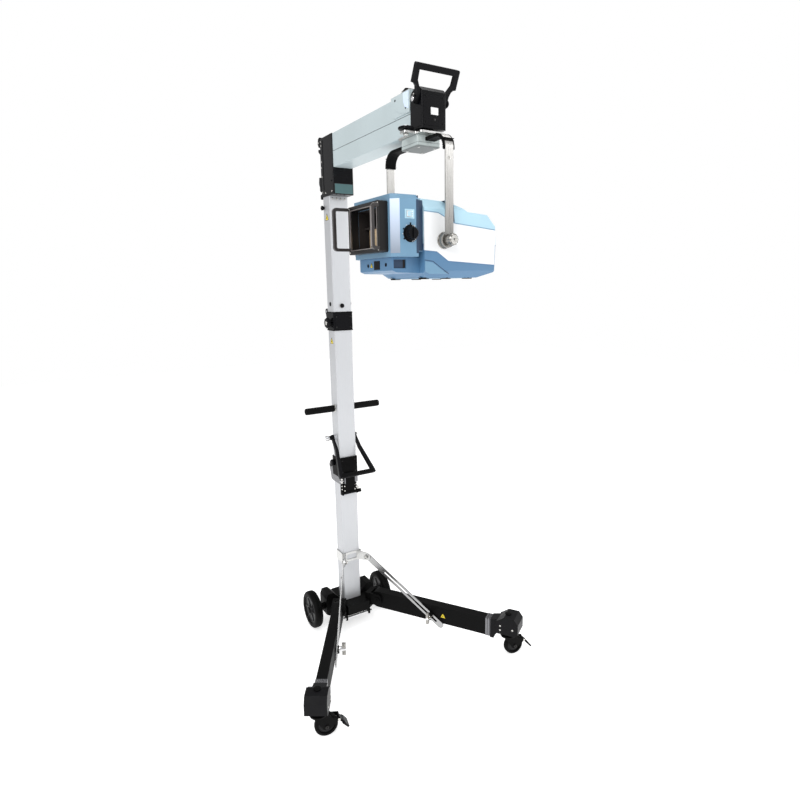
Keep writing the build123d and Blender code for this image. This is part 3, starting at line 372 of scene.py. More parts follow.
def moved(outline, du, dv):
    """An outline moved in its own plane."""
    return [(u + du, v + dv) for u, v in outline]


def warning_mark(name, place, size, body):
    """A plain yellow triangle with a black border and a dot, with no lettering."""
    h = size * 0.866
    for label, k, depth, material in (("edge", 1.0, 0.35, "black_plastic"), ("face", 0.82, 0.55, "yellow"),
                                      ("core", 0.26, 0.75, "black_plastic")):
        tri = [(-size / 2 * k, -h / 3 * k), (size / 2 * k, -h / 3 * k), (0, 2 * h / 3 * k)]
        prism(f"{name}_{label}", (tri, -depth, 0.0), place, material, body, bevel=0.0)

# ---------------------------------------------------------------- tube head
UNIT_Y, HALF = -612.0, 128.0        # middle of the head and half its width
REAR_X = 200.0                      # rear face of the head
TILT_Z = 1610.0                     # height of the tilt axis


def rear_face(proud):
    """Places an outline of (y, z) on the rear of the head, standing proud by a distance."""
    return lambda u, v, w: (REAR_X + proud - w, u, v)


def dress_side(label, side):
    """Panel lips, navy neck band, painted shade by neck and strap, lower seam on one side of the head."""
    def plane(depth):
        """Places an outline of (x, z) on this side of the head, standing proud by a depth."""
        return lambda u, v, w: (u, UNIT_Y + side * (HALF + depth - w), v)

    band = [(-92, 1580), (-70.5, 1580), (-66, 1640), (-70.5, 1722), (-92, 1722)]
    prism("neck_band_" + label, (band, 0, 9.5), plane(-8.6), "navy", "unit", 1.0)
    # painted shade: a navy strip over the rear edge of the collimator at the neck
    cover = [(-99, 1572), (-91.4, 1572), (-91.4, 1722), (-99, 1722)]
    prism("neck_shade_" + label, (cover, 0, 1.4), plane(2.8), "navy", "unit", 0.5)
    lip = [(-71, 1693.5), (-21, 1690.5), (9, 1677.5), (42, 1662.5), (197, 1647.5), (197, 1645),
           (41, 1660), (8, 1675), (-21, 1688), (-71, 1691)]
    prism("panel_lip_upper_" + label, (lip, 0, 2.0), plane(0.9), "blue", "unit", 0.5)
    low = [(-70, 1581), (-26, 1578), (16, 1551), (194, 1540), (194, 1537.5), (15, 1548.5), (-27, 1575.5),
           (-70, 1578.5)]
    prism("panel_lip_lower_" + label, (low, 0, 2.0), plane(0.9), "deep_blue", "unit", 0.5)
    seam = [(-70, 1554), (-40, 1550.3), (18, 1513), (17, 1511.5), (-41, 1548.6), (-70, 1552)]
    prism("lower_seam_" + label, (seam, 0, 1.2), plane(0.35), "navy", "unit", 0)
    flap = [(-69, 1549.5), (-42, 1546), (12, 1512.5), (-54, 1512.5), (-69, 1520)]
    prism("lower_flap_" + label, (flap, 0, 1.6), plane(0.9), "blue", "unit", 0.8)
    # painted shade: a navy patch where the recess runs under the strap
    shade = [(6, 1676), (40, 1660), (35, 1720.5), (20, 1723), (8, 1724.8)]
    prism("strap_recess_painted_shade_" + label, (shade, 0, 1.4), plane(0.5), "navy", "unit", 0.6)


for label, side in NEAR_FAR:
    dress_side(label, side)

# painted shade: navy stripes over the top edge where the recess runs under the straps
top_stripe = [(8, 1725.9), (22, 1723.7), (36, 1721.0), (36, 1719.6), (22, 1722.3), (8, 1724.5)]
for label, y0, y1 in (("near", -738, -700), ("far", -524, -486)):
    prism("top_recess_painted_shade_" + label, (top_stripe, y0, y1), lambda u, v, w: (u, w, v), "navy", "unit", 0.4)

# ridge plate along the top with its own rounded step
ridge = [(-58, 1729.6), (4, 1725.8), (4, 1728.6), (-56, 1732.2)]
prism("top_plate", (ridge, -700, -524), lambda u, v, w: (u, w, v), "light_blue", "unit", 1.0)
hatch = [(88, 1696.2), (160, 1690.8), (160, 1692.8), (89, 1698.2)]
prism("rear_top_plate", (hatch, -690, -534), lambda u, v, w: (u, w, v), "light_blue", "unit", 0.8)
prism("shell_seam", (moved(ring_outline(129.2, 0.8, 0.6), UNIT_Y, 1600), 0, 0.8),
      rear_face(-0.8), "navy", "unit", 0)

# rear: vent slots, mains socket and a switch
for k in range(7):
    slot = moved(ring_outline(42, 2.2, 2.0), UNIT_Y, 1654 - 9 * k)
    prism(f"rear_vent_{k}", (slot, 0, 2.0), rear_face(0.2), "cavity", "unit", 0)
prism("rear_socket_plate", (moved(ring_outline(44, 20, 4), UNIT_Y, 1560), 0, 3.0),
      rear_face(-0.2), "black_plastic", "unit", 0.8)
lathe("rear_socket", [(0, 11), (4.0, 11), (4.8, 10.2), (4.8, 8.2), (1.2, 7.8)],
      (197.6, UNIT_Y - 22, 1560), (1, 0, 0), "zinc", "unit")
prism("rear_switch", (moved(ring_outline(8, 5.5, 1.5), UNIT_Y + 20, 1560), 0, 3.0),
      rear_face(1.4), "frame_edge", "unit", 0.6)

# collimator: painted shade in the gap behind it, painted highlight bands, the panel with its button and
# lamps
COLL_NEAR = -742.0                  # near face of the collimator
BAND_Z = (1572, 1722)
# a navy sheet in the gap behind the collimator, as painted shade
slab("collimator_gap_painted_shade", (-93.4, -740.2, 1564.5), (-91.0, -483.8, 1733.0), "navy", "unit", 0.5)


def edge_band(label, side, inner):
    """The band of painted highlight on the chamfered front edge of the collimator, on one side."""
    front_edge = (-175.3, inner - side * 0.2)
    rear_edge = (-155.2, inner + side * 20.35)
    corners = [(*front_edge, BAND_Z[0]), (*rear_edge, BAND_Z[0]), (*rear_edge, BAND_Z[1]),
               (*front_edge, BAND_Z[1])]
    bm = bmesh.new()
    outer = [bm.verts.new(mm(x - 0.5, y + side * 0.5, z)) for x, y, z in corners]
    inside = [bm.verts.new(mm(x + 1.2, y - side * 1.2, z)) for x, y, z in corners]
    bm.faces.new(outer)
    bm.faces.new(inside)
    for i in range(4):
        j = (i + 1) % 4
        bm.faces.new((outer[i], outer[j], inside[j], inside[i]))
    finish_piece("collimator_edge_" + label, mesh_from(bm, "edge"), "band", "unit", 0.4)


edge_band("near", -1, -722.3)
edge_band("far", 1, -501.7)

BUTTON = (-125, 1681)
side_plane = front(COLL_NEAR - 0.6)
strips = ((-138, -132.4, 1668, 1694), (-117.6, -106, 1668, 1694), (-132.4, -117.6, 1689.9, 1694),
          (-132.4, -117.6, 1668, 1672.1))
for k, (x0, x1, z0, z1) in enumerate(strips):
    slab(f"button_panel_{k}", (x0, COLL_NEAR - 1.0, z0), (x1, COLL_NEAR + 0.6, z1), "light_blue", "unit",
         0.2)
prism("button_cap", (moved(ring_outline(5.0, 6.6, 1.5), *BUTTON), -4.4, -3.0), side_plane,
      "light_blue", "light_button", 0.4)
for k in range(3):
    lathe(f"panel_lamp_{k}", [(0, 1.7), (0.9, 1.6), (1.3, 0.9)], (-113, COLL_NEAR - 0.8, 1688 - 6.5 * k),
          (0, -1, 0), "lamp", "unit", steps=20)

# dial: plate with pips, fluted skirt, pointer line and the scale marks round it
DIAL = (-119.0, COLL_NEAR, 1627.0)  # middle of the dial on the face
PIP_R, MARK_R = 22.6, 26.6          # circles of the pips and of the scale marks
lathe("dial_plate", [(0.0, 24.8), (0.5, 24.8), (0.7, 24.2)], (DIAL[0], COLL_NEAR + 0.1, DIAL[2]),
      (0, -1, 0), "black_plastic", "unit")
for k in range(11):
    angle = radians(-75 + 14.5 * k)
    lathe(f"dial_pip_{k}", [(0, 1.3), (0.9, 1.2), (1.1, 0.8)],
          (DIAL[0] + PIP_R * cos(angle), COLL_NEAR - 0.4, DIAL[2] + PIP_R * sin(angle)), (0, -1, 0),
          "tag", "unit", steps=12)


def dial_grip(points=96, flutes=16, depth=0.7):
    """The dial's body, with flutes round all of it but the two ends."""
    profile = ((0.4, 20.5), (6.2, 19.9), (7.4, 17.8), (17.6, 16.3), (19.2, 14.4))
    bm = bmesh.new()
    rings = []
    for row, (along, base) in enumerate(profile):
        ring = []
        for k in range(points):
            angle = 2 * pi * k / points
            r = base + (depth * cos(angle * flutes) if 0 < row < len(profile) - 1 else 0)
            ring.append(bm.verts.new(mm(DIAL[0] + r * cos(angle), DIAL[1] - along,
                                        DIAL[2] + r * sin(angle))))
        rings.append(ring)
    for a, b in zip(rings, rings[1:]):
        for k in range(points):
            bm.faces.new((a[k], a[(k + 1) % points], b[(k + 1) % points], b[k]))
    bm.faces.new(rings[0])
    bm.faces.new(rings[-1])
    finish_piece("dial_grip", mesh_from(bm, "dial"), "black_plastic", "dial")


dial_grip()
prism("dial_pointer", ([(-121, 1628), (-117, 1628), (-117.6, 1638.6), (-119, 1640.4), (-120.4, 1638.6)],
                       -20.2, -18.8), front(COLL_NEAR), "tag", "dial", 0.2)
for k in range(9):
    angle = radians(215 - 31.25 * k)
    at = (DIAL[0] + MARK_R * cos(angle), COLL_NEAR + 0.1, DIAL[2] + MARK_R * sin(angle))
    if k % 2 == 0:
        lathe(f"dial_dot_{k}", [(0, 2.6), (0.5, 2.5)], at, (0, -1, 0), "black_plastic", "unit", steps=20)
    else:
        lathe(f"dial_tick_{k}", [(0, 1.3), (0.5, 1.2)], at, (0, -1, 0), "tag", "unit", steps=16)
prism("dial_zero", ([(-122.4, 1657.2), (-115.6, 1657.2), (-119, 1651.4)], -0.5, 0.2),
      front(COLL_NEAR - 0.1), "black_plastic", "unit", 0)

# window: dark liner, thin bezel and screws
W_Y0, W_Y1, W_Z0, W_Z1 = -696.0, -530.0, 1590.0, 1706.0


def liner(name, x0, x1, inset, thick, material):
    """A rectangular sleeve along X inside the window."""
    bm = bmesh.new()
    for x in (x0, x1):
        for k in (inset, inset + thick):
            for y, z in ((W_Y0 + k, W_Z0 + k), (W_Y1 - k, W_Z0 + k), (W_Y1 - k, W_Z1 - k),
                         (W_Y0 + k, W_Z1 - k)):
                bm.verts.new(mm(x, y, z))
    bm.verts.ensure_lookup_table()
    for i in range(4):
        j = (i + 1) % 4
        quads = ((i, j, 8 + j, 8 + i), (4 + i, 4 + j, 12 + j, 12 + i), (i, j, 4 + j, 4 + i),
                 (8 + i, 8 + j, 12 + j, 12 + i))
        for quad in quads:
            bm.faces.new([bm.verts[n] for n in quad])
    finish_piece(name, mesh_from(bm, name), material, "unit", 0.3)


liner("window_bezel", -205.2, -200.0, -2.6, 2.4, "frame_edge")
liner("window_liner", -175.5, -110.4, 0.15, 0.9, "cavity")
slab("rail_cover", (-154.4, W_Y0 + 0.6, 1652.2), (-135.6, W_Y1 - 0.6, 1658.3), "cavity", "unit", 0.2)
slab("sill_cover", (-154.4, W_Y0 + 0.6, 1590.6), (-135.6, W_Y1 - 0.6, 1595.7), "cavity", "unit", 0.0)
slab("window_back", (-111.6, W_Y0 + 0.3, W_Z0 + 0.3), (-109.6, W_Y1 - 0.3, W_Z1 - 0.3), "cavity", "unit",
     0.0)
slab("housing_top_stop", (-142, -512, 1735.0), (-104, -486, 1741.0), "black_plastic", "unit", 1.2)
lathe("field_lamp", [(0, 4.2), (2.0, 4.2), (3.6, 3.2), (4.2, 1.6)], (-110.0, -682, 1672), (-1, 0, 0),
      "lamp", "unit", steps=28)
for k, (y, z) in enumerate(((-703, 1583), (-523, 1583), (-703, 1712.5), (-523, 1712.5))):
    screw(f"frame_screw_{k}", (-203.8, y, z), (-1, 0, 0), 2.6, 1.6, "unit")

slab("near_loop_edge", (-228.6, -709.0, 1592), (-227.2, -701.0, 1701), "frame_edge", "unit", 0.5)
slab("near_loop_top", (-222, -709.0, 1709.2), (-178, -701.0, 1710.6), "frame_edge", "unit", 0.5)
slab("frame_edge_near", (-204.8, -697.2, 1592), (-203.4, -694.8, 1704), "frame_edge", "unit", 0.5)

# electronics foot: recessed label field, holes, side grip with painted shade, small mark
slab("foot_black_field", (-166.2, -640, 1528), (-164.6, -604, 1554), "black_plastic", "unit", 0.8)
# painted shade: a navy sheet and a black one darken the side recess and its socket
slab("foot_side_recess_painted_shade", (-158.8, UNIT_Y - 95, 1530.4), (-113.0, UNIT_Y - 93.8, 1556.6), "navy", "unit",
     0.2)
slab("foot_side_socket", (-126.0, UNIT_Y - 95.3, 1531.4), (-114.0, UNIT_Y - 94.6, 1555.6), "cavity",
     "unit", 0.1)
for k, y in enumerate((-676, -566)):
    lathe(f"foot_hole_{k}", [(0, 5.6), (0.9, 5.4), (0.9, 3.4), (0.2, 3.2)], (-165.0, y, 1541), (-1, 0, 0),
          "black_plastic", "unit", steps=26)
warning_mark("foot_mark", lambda u, v, w: (-165.4 + w, -588 - u, 1540 + v), 17, "unit")
for k, (x, y) in enumerate(((-44, -84), (37, -84), (120, -84), (-44, 84), (37, 84), (120, 84))):
    prism(f"foot_pad_{k}", (moved(ring_outline(16, 7, 3), x, UNIT_Y + y), 1498.0, 1502.4), level,
          "rubber", "unit", 0.8)
prism("belly_plate", (moved(ring_outline(92, 92, 8), 42, UNIT_Y), 1500.2, 1503.4), level, "blue",
      "unit", 0.8)

# ---------------------------------------------------------------- yoke
YOKE_Y = -600.0
ARM_IN, ARM_OUT = 163.75, 168.25    # inner and outer faces of the arms from the middle of the yoke
for label, side in NEAR_FAR:
    y_in = UNIT_Y + side * HALF
    y_arm = YOKE_Y + side * ARM_IN
    lathe("boss_flange_" + label, [(0, 24.6), (2.6, 24.6), (4, 23.6), (4, 21)], (0, y_in, TILT_Z),
          (0, side, 0), "knob", "unit")
    middle = (y_in + y_arm) / 2
    lathe("boss_groove_" + label, [(-2.6, 22.0), (-1.8, 22.9), (1.8, 22.9), (2.6, 22.0)],
          (0, middle, TILT_Z), (0, side, 0), "boom_dark", "unit")
    lathe("tilt_washer_" + label, [(0.1, 13.6), (1.4, 13.6), (1.8, 12.8)],
          (0, YOKE_Y + side * (ARM_OUT + 0.05), TILT_Z), (0, side, 0), "zinc", "tilt_knob_" + label)
    lathe("tilt_cap_" + label, [(0, 12.5), (1.0, 12.5), (1.8, 11.4), (1.8, 6.5), (0.6, 6.0), (0.6, 3.8),
                                (-3, 3.4)], (0, YOKE_Y + side * 192, TILT_Z), (0, side, 0), "zinc",
          "tilt_knob_" + label)
    for k in range(12):
        angle = radians(30 * k)
        centre = (15.6 * cos(angle), YOKE_Y + side * 180.5, TILT_Z + 15.6 * sin(angle))
        lathe(f"tilt_rib_{label}_{k}", [(-9.6, 1.3), (-8.4, 1.9), (8.4, 1.9), (9.6, 1.3)], centre,
              (0, side, 0), "knob", "tilt_knob_" + label, steps=12)
    screw("yoke_screw_" + label, (0, YOKE_Y + side * (ARM_OUT + 0.15), 1838), (0, side, 0), 4.5, 2.4,
          "yoke")
    for k in range(5):
        z = 1866 + 6.2 * k
        y0, y1 = sorted((YOKE_Y + side * 157.6, YOKE_Y + side * 165.6))
        slab(f"grip_rib_{label}_{k}", (-18.8, y0, z), (18.8, y1, z + 2.6), "rubber", "yoke", 1.0)
for k, (x, y) in enumerate(((-28, -650), (28, -650), (-28, -586), (28, -586))):
    screw(f"block_screw_{k}", (x, y, 1888.0), (0, 0, -1), 4.0, 2.0, "yoke")
prism("block_groove", (moved(ring_outline(40.4, 46.4, 2.4), 0, -618), 1899.2, 1900.0), level,
      "boom_dark", "yoke", 0)

# ---------------------------------------------------------------- boom, nose and bracket
LOCK = (-72.0, -650.0)              # x and y of the swivel lock
GRIP_PIVOT = (-672.0, 2012.0)       # y and z of the carrying handle's pivot
for side, label in SIDES:
    slab("boom_groove_" + label, (side * 39.2 - 0.9, -628, 1983.2), (side * 39.2 + 0.9, -14, 1984.9),
         "boom_dark", "upper", 0)
    swoop = [(-627, 2052.4), (-517, 2052.4), (-524, 2036), (-540, 2016), (-566, 1999), (-600, 1990.6),
             (-627, 1989.4)]
    inner = [(-627, 2050.6), (-519.6, 2050.6), (-526, 2036.6), (-542, 2017.6), (-567.4, 2001),
             (-600.6, 1992.8), (-627, 1991.6)]
    prism("cover_face_" + label, (swoop, 0, 1.0), flank(side * 44.0, side), "boom", "upper", 0.5)
    prism("cover_inset_" + label, (inner, 0, 1.0), flank(side * 44.35, side), "boom", "upper", 0.4)
    for k, (y, z) in enumerate(((-606, 2006), (-545, 2040))):
        screw(f"cover_screw_{label}_{k}", (side * 44.2, y, z), (side, 0, 0), 3.2, 1.4, "upper",
              "black_plastic")
slab("cover_top_lip", (-41, -626, 2051.6), (41, -522, 2053.4), "boom", "upper", 0.6)
# toggle clasp over the rear edge of the cover, with its raised plate on the left face
wedge = [(-616, 2052.6), (-582, 2052.6), (-584, 2058), (-600, 2063), (-612, 2060)]
prism("clasp_lever", (wedge, 0, 30), flank(-42.0, -1), "black", "upper", 1.0)
slab("clasp_base", (-43, -622, 2052.4), (-6, -576, 2054.6), "steel_flat", "upper", 0.8)
lathe("clasp_pin", [(-44, 2.2), (-10, 2.2)], (0, -586, 2056), (1, 0, 0), "zinc", "upper", steps=20)
raised = [(-622, 2050), (-592, 2050), (-594, 2024), (-602, 2008), (-622, 2001)]
prism("clasp_plate", (raised, 0, 1.6), flank(-45.6, -1), "band", "upper", 0.8)

slab("nose_tag", (-13, -695.4, 1970), (13, -693.0, 1990), "tag", "upper", 0.8)
prism("nose_tag_border", (moved(ring_outline(15, 12, 2), 0, 1980), 0, 1.4), front(-694.0),
      "black_plastic", "upper", 0.3)
slab("nose_panel", (-37, -693.2, 1940), (37, -691.6, 2026), "gloss_black", "upper", 2.0)
for k, (x, z) in enumerate(((-30, 1948), (30, 1948), (-30, 2020), (30, 2020))):
    screw(f"nose_screw_{k}", (x, -693.0, z), (0, -1, 0), 2.8, 1.4, "upper", "black_plastic")
lathe("nose_button", [(0, 4.4), (1.4, 4.2), (2.0, 3.0)], (0, -693.0, 1957), (0, -1, 0), "frame", "upper",
      steps=26)
for side, label in SIDES:
    lathe("grip_hub_" + label, [(0, 11), (4, 11), (6, 9), (6, 4)], (side * 56, *GRIP_PIVOT), (side, 0, 0),
          "black_plastic", "carry_handle")
    screw("grip_bolt_" + label, (side * 61.6, *GRIP_PIVOT), (side, 0, 0), 7.4, 3.2, "carry_handle",
          "chrome")
    for k, (y, z) in enumerate(((-650, 2032), (-644, 2020))):
        screw(f"nose_flank_screw_{label}_{k}", (side * 44, y, z), (side, 0, 0), 3.4, 1.6, "upper")
    slab("nose_side_" + label, (side * 43.4 - 0.7, -688, 1938), (side * 43.4 + 0.7, -632, 2006),
         "gloss_black", "upper", 1.0)

BRACKET_SIDE = 42.6                 # flank of the bracket from its middle
plate_front = front(-78.8)
prism("bracket_plate", (moved(ring_outline(38, 17.5, 2), 1, 1850), 0, 1.6), plate_front, "teal", "upper",
      0.5)
prism("bracket_plate_rim", (moved(ring_outline(40, 19.5, 3), 1, 1850), 0.4, 1.6), plate_front, "frame",
      "upper", 0.3)
for side, label in SIDES:
    for k, (y, z) in enumerate(((-62, 1842), (-62, 1880), (24, 2036), (24, 1940), (-6, 1842))):
        screw(f"bracket_screw_{label}_{k}", (side * 43, y, z), (side, 0, 0), 3.4, 1.6, "upper",
              "zinc" if k != 1 else "black_plastic")
    slab("bracket_rib_" + label, (side * 43.0 - 1.6, 8, 1852), (side * 43.0 + 1.6, 16, 2040),
         "gloss_black", "upper", 1.2)
for side, label in SIDES:
    for k, ears in enumerate(([(38, 2056), (50, 2052), (56, 2034), (46, 2018), (38, 2020)],
                              [(38, 2010), (50, 2012), (52, 2003), (38, 1992)],
                              [(38, 1906), (53, 1908), (57, 1884), (50, 1870), (50, 1856), (38, 1850)],
                              [(38, 1842), (46, 1840), (46, 1824), (38, 1822)])):
        prism(f"bracket_ear_{label}_{k}", (ears, 0, 20), flank(side * BRACKET_SIDE, side), "gloss_black",
              "upper", 1.5)
    screw("bracket_ear_bolt_" + label, (side * BRACKET_SIDE, 46, 2036), (side, 0, 0), 3.6, 1.8, "upper")
lathe("column_knob", [(0, 5.5), (5, 5.5), (5, 8.5), (11, 9), (12.5, 7)], (-39.8, 22, 1788), (-1, 0, 0),
      "black_plastic", "upper", steps=32)
slab("bracket_back_knuckle_top", (-15, 40, 2024), (15, 48, 2042), "gloss_black", "upper", 2.0)
lathe("bracket_back_pin_top", [(-22, 4), (22, 4)], (0, 41, 2033), (1, 0, 0), "zinc", "upper", steps=24)
lathe("bracket_back_pin_low", [(-28, 5), (28, 5)], (0, 40, 1873), (1, 0, 0), "zinc", "upper", steps=24)
for k, x in enumerate((-27, -9, 9, 27)):
    screw(f"neck_screw_{k}", (x, -30.6, 1821), (0, -1, 0), 2.6, 1.2, "upper", "boom_dark")
lathe("swivel_collar", [(0, 19), (1.0, 19), (1.4, 18)], (0, YOKE_Y, 1919.6), (0, 0, 1), "zinc", "yoke")
for k in range(20):
    angle = 2 * pi * k / 20
    lathe(f"lock_flute_{k}", [(0, 1.5), (0.6, 2.0), (5.2, 2.0), (6, 1.5)],
          (LOCK[0] + 21.6 * cos(angle), LOCK[1] + 21.6 * sin(angle), 1931.6), (0, 0, 1), "black_plastic",
          "swivel_lock", steps=10)
lathe("lock_cap", [(0, 12.5), (2.6, 12.5), (3.6, 11.4), (3.6, 3.0)], (*LOCK, 1937.8), (0, 0, 1), "chrome",
      "swivel_lock", steps=32)
lathe("lock_nut", [(0, 8.5), (5.0, 8.5)], (*LOCK, 1914.2), (0, 0, 1), "zinc", "swivel_lock", steps=6)

# ---------------------------------------------------------------- masts and collar
for k, (z, body) in enumerate(((1748, "upper"), (1258, "mast"))):
    warning_mark(f"mast_mark_{k}", lambda u, v, w, z0=z: (-40.0 + w, -1 - u, z0 + v), 30, body)
lathe("peep_hole", [(0, 9.0), (0.8, 8.6), (0.8, 6.2), (0.1, 6.0)], (-40.0, -1, 1411), (-1, 0, 0),
      "black_plastic", "upper", steps=32)
lathe("ring_screw", [(0, 9.0), (1.4, 9.0), (2.4, 7.6), (2.4, 5.4), (1.2, 5.0), (1.2, 2.4), (2.8, 2.0)],
      (-3, -33.6, 1404), (0, -1, 0), "black_plastic", "upper", steps=36)
lathe("stop_knob", [(0, 4.5), (3, 4.5), (3, 9), (9, 9.5), (11, 8.2)], (40.2, 0, 1411), (1, 0, 0),
      "black_plastic", "upper", steps=32)
prism("collar_front_plate", (moved(ring_outline(37, 27, 3), 0, 1339), 0, 2.0), front(-34.6),
      "gloss_black", "mast", 0.8)
for k, (x, z) in enumerate(((-31, 1318), (31, 1318), (-31, 1360), (31, 1360))):
    screw(f"collar_screw_{k}", (x, -34.6, z), (0, -1, 0), 2.8, 1.4, "mast", "frame")
for z in (1305.5, 1376.5):
    prism(f"collar_lip_{int(z)}", (ring_outline(44.4, 34.4, 5), z - 1.6, z + 1.6), level, "black",
          "mast", 0.8)
lathe("collar_nut", [(43, 10), (50.5, 10), (51.5, 9.2)], (0, -6, 1322), (1, 0, 0), "zinc", "mast", steps=6)
COLLAR_KNOB_Z = 1335
lathe("collar_knob_grip", [(-62.8, 16.5), (-60.8, 18.8), (-51.0, 19.4), (-49.8, 17.0)],
      (0, 0, COLLAR_KNOB_Z), (1, 0, 0), "black_plastic", "collar_knob", steps=64)
for k in range(8):
    angle = 2 * pi * k / 8
    lathe(f"collar_knob_lobe_{k}", [(-61.8, 3.0), (-60.4, 4.2), (-51.4, 4.2), (-50.2, 3.0)],
          (0, 17.2 * cos(angle), COLLAR_KNOB_Z + 17.2 * sin(angle)), (1, 0, 0), "black_plastic",
          "collar_knob", steps=14)
lathe("collar_knob_cap", [(-63.6, 8.0), (-62.4, 8.8)], (0, 0, COLLAR_KNOB_Z), (1, 0, 0), "zinc",
      "collar_knob", steps=28)

# push bar grips: ribbed sleeves with rounded ends
BAR_Z = 977
for side, label in SIDES:
    profile = [(43.5, 11.6), (44.6, 14.0), (47.0, 14.2)]
    for k in range(22):
        start = 49.0 + 5.1 * k
        profile += [(start, 13.5), (start + 1.1, 14.0), (start + 3.4, 14.0), (start + 4.4, 13.5)]
    profile += [(163.0, 13.8), (168.0, 13.0), (170.6, 10.4), (171.0, 4.0)]
    lathe("grip_sleeve_" + label, profile, (0, 0, BAR_Z), (side, 0, 0), "rubber", "mast", steps=40)
    lathe("bar_flange_" + label, [(39.8, 16.5), (41.6, 16.5), (42.4, 15.2), (42.4, 12.0)], (0, 0, BAR_Z),
          (side, 0, 0), "zinc", "mast", steps=40)

LIFT_PIVOT = (0.0, 5.0, 850.0)      # pivot of the folding handle

# folding handle: soft rounded grip along its crossbar and hubs at its pivots
lathe("handle_grip", [(-74, 7.0), (-71, 9.2), (-66, 9.6), (66, 9.6), (71, 9.2), (74, 7.0)],
      (0, -115, 714), (1, 0, 0), "rubber", "handle", steps=32)
for side, label in SIDES:
    lathe("handle_hub_" + label, [(46.9, 10), (47.6, 11.6), (56.6, 11.6), (57.4, 10)], LIFT_PIVOT,
          (side, 0, 0), "black_plastic", "handle", steps=36)
lathe("handle_boss", [(57.4, 8), (57.6, 9), (68.5, 9), (69.5, 8)], LIFT_PIVOT, (-1, 0, 0),
      "black_plastic", "mast", steps=32)
lathe("handle_silver_knob", [(69.4, 8.5), (70.4, 10.6), (82.0, 10.8), (84.2, 9.6), (85.0, 7.4),
                             (84.6, 4.0)], LIFT_PIVOT, (-1, 0, 0), "chrome", "mast", steps=44)
screw("handle_nut", (62.6, *LIFT_PIVOT[1:]), (1, 0, 0), 5.6, 3.4, "mast")

# ---------------------------------------------------------------- lower hinge and latch
HINGE_SIDE = 43.2                   # flank of the hinge head from its middle
head_face = front(-36.8)
prism("hinge_face", (moved(ring_outline(38, 34, 3), 0, 727), 0, 1.8), head_face, "black", "mast", 0.8)
for k, (x, z) in enumerate(((-30, 752), (30, 752), (-30, 702), (30, 702))):
    screw(f"hinge_screw_{k}", (x, -36.8, z), (0, -1, 0), 3.0, 1.4, "mast", "frame")
for side, label in SIDES:
    prism("hinge_cheek_" + label, (moved(ring_outline(32, 36, 5), 0, 724), 0, 2.4),
          flank(side * HINGE_SIDE, side), "black", "mast", 1.0)
    screw("hinge_side_screw_" + label, (side * HINGE_SIDE, -14, 742), (side, 0, 0), 4.0, 2.0, "mast")
lathe("hinge_side_knob", [(42.0, 8), (44, 13), (53, 14), (56, 12), (57, 8)], (0, 20, 736), (-1, 0, 0),
      "black_plastic", "mast", steps=40)
slab("socket_catch", (-39, -37.0, 653), (-30, -33.6, 676), "zinc", "base", 1.0)
lathe("socket_catch_pin", [(-44, 3.2), (-28, 3.2)], (0, -38.4, 664), (1, 0, 0), "chrome", "base", steps=20)
prism("latch_cover", (moved(ring_outline(29, 15.5, 3), -3, 631), 0, 1.6), front(-45.4), "black", "latch",
      0.6)
slab("latch_face", (-27, -46.4, 652), (22, -44.8, 692), "socket", "latch", 0.8)
for k, (x, z) in enumerate(((-27, 622), (21, 622), (-27, 642), (21, 642))):
    screw(f"latch_screw_{k}", (x, -45.4, z), (0, -1, 0), 2.8, 1.6, "latch")

# ---------------------------------------------------------------- base, stays and legs
LEG_ANGLE, LEG_X0, LEG_Y0 = radians(32), 40.0, 5.0
LEG_HALF, LEG_Z = 20.0, 110.0       # half the leg's width, and the height of its middle
STAY_TOP = (73.0, 310.0)            # along the leg, and up
STAY_KNOB = (375.0, 100.0)
STEM_R = 708.0                      # where the caster's stem stands along the leg
CASTER_TURN, CASTER_TRAIL, CASTER_R = radians(-12), 24.0, 40.0
REAR_WHEEL = (170.0, 25.0, 80.0)


def leg_directions(side):
    """Out along a leg, and into the V between the legs."""
    out = Vector((side * sin(LEG_ANGLE), -cos(LEG_ANGLE), 0))
    inward = Vector((-side * cos(LEG_ANGLE), -sin(LEG_ANGLE), 0))
    return out, inward


def leg_point(side, r, z, w=0.0):
    """A point along a leg, up, and towards the space between the legs, in mm."""
    out, inward = leg_directions(side)
    p = Vector((side * LEG_X0, LEG_Y0, 0)) + out * r + inward * w
    return Vector((p.x, p.y, z))


def dress_leg(side, label):
    """Bolts, mark, bands and screws of one leg and the bolts at the top of its stay."""
    leg, stay = "leg_" + label, "stay_" + label
    inward = leg_directions(side)[1]
    top = leg_point(side, *STAY_TOP)
    lathe("stay_head_bolt_" + label, [(22.0, 4.8), (19.6, 6.8), (18.4, 6.8), (17.8, 5.6)], top, inward,
          "zinc", stay, steps=6)
    lathe("ear_nut_" + label, [(36.4, 7.2), (41.4, 7.2), (42.4, 6.0)], top, inward, "zinc", stay, steps=6)
    if side > 0:
        face = LEG_HALF + 0.3
        warning_mark("leg_mark_" + label, lambda u, v, w: leg_point(side, 432 + u, 106 + v, face - w), 26,
                     leg)
    for k in range(3):
        start = 619 + 9 * k
        prism(f"leg_band_{label}_{k}", (moved(ring_outline(LEG_HALF + 1.4, 39.4, 3), 0, LEG_Z), start,
                                        start + 7.5), lambda u, v, w: leg_point(side, w, v, u), "socket",
              leg, 0.6)
    for k, (r, z) in enumerate(((686, 140), (686, 122), (736, 132))):
        for s in (1, -1):
            screw(f"mount_screw_{label}_{k}_{s + 1}", leg_point(side, r, z, s * 38.0), inward * s, 3.6,
                  2.0, leg)
    lathe("leg_pivot_bolt_" + label, [(27, 10), (31, 10), (33, 8.4), (33, 4)],
          leg_point(side, 120, LEG_Z), inward, "black", leg, steps=6)
    lathe("stem_cap_" + label, [(0, 13), (2.5, 13), (4.0, 10.5)], leg_point(side, STEM_R, 178.0),
          (0, 0, 1), "black", leg, steps=30)


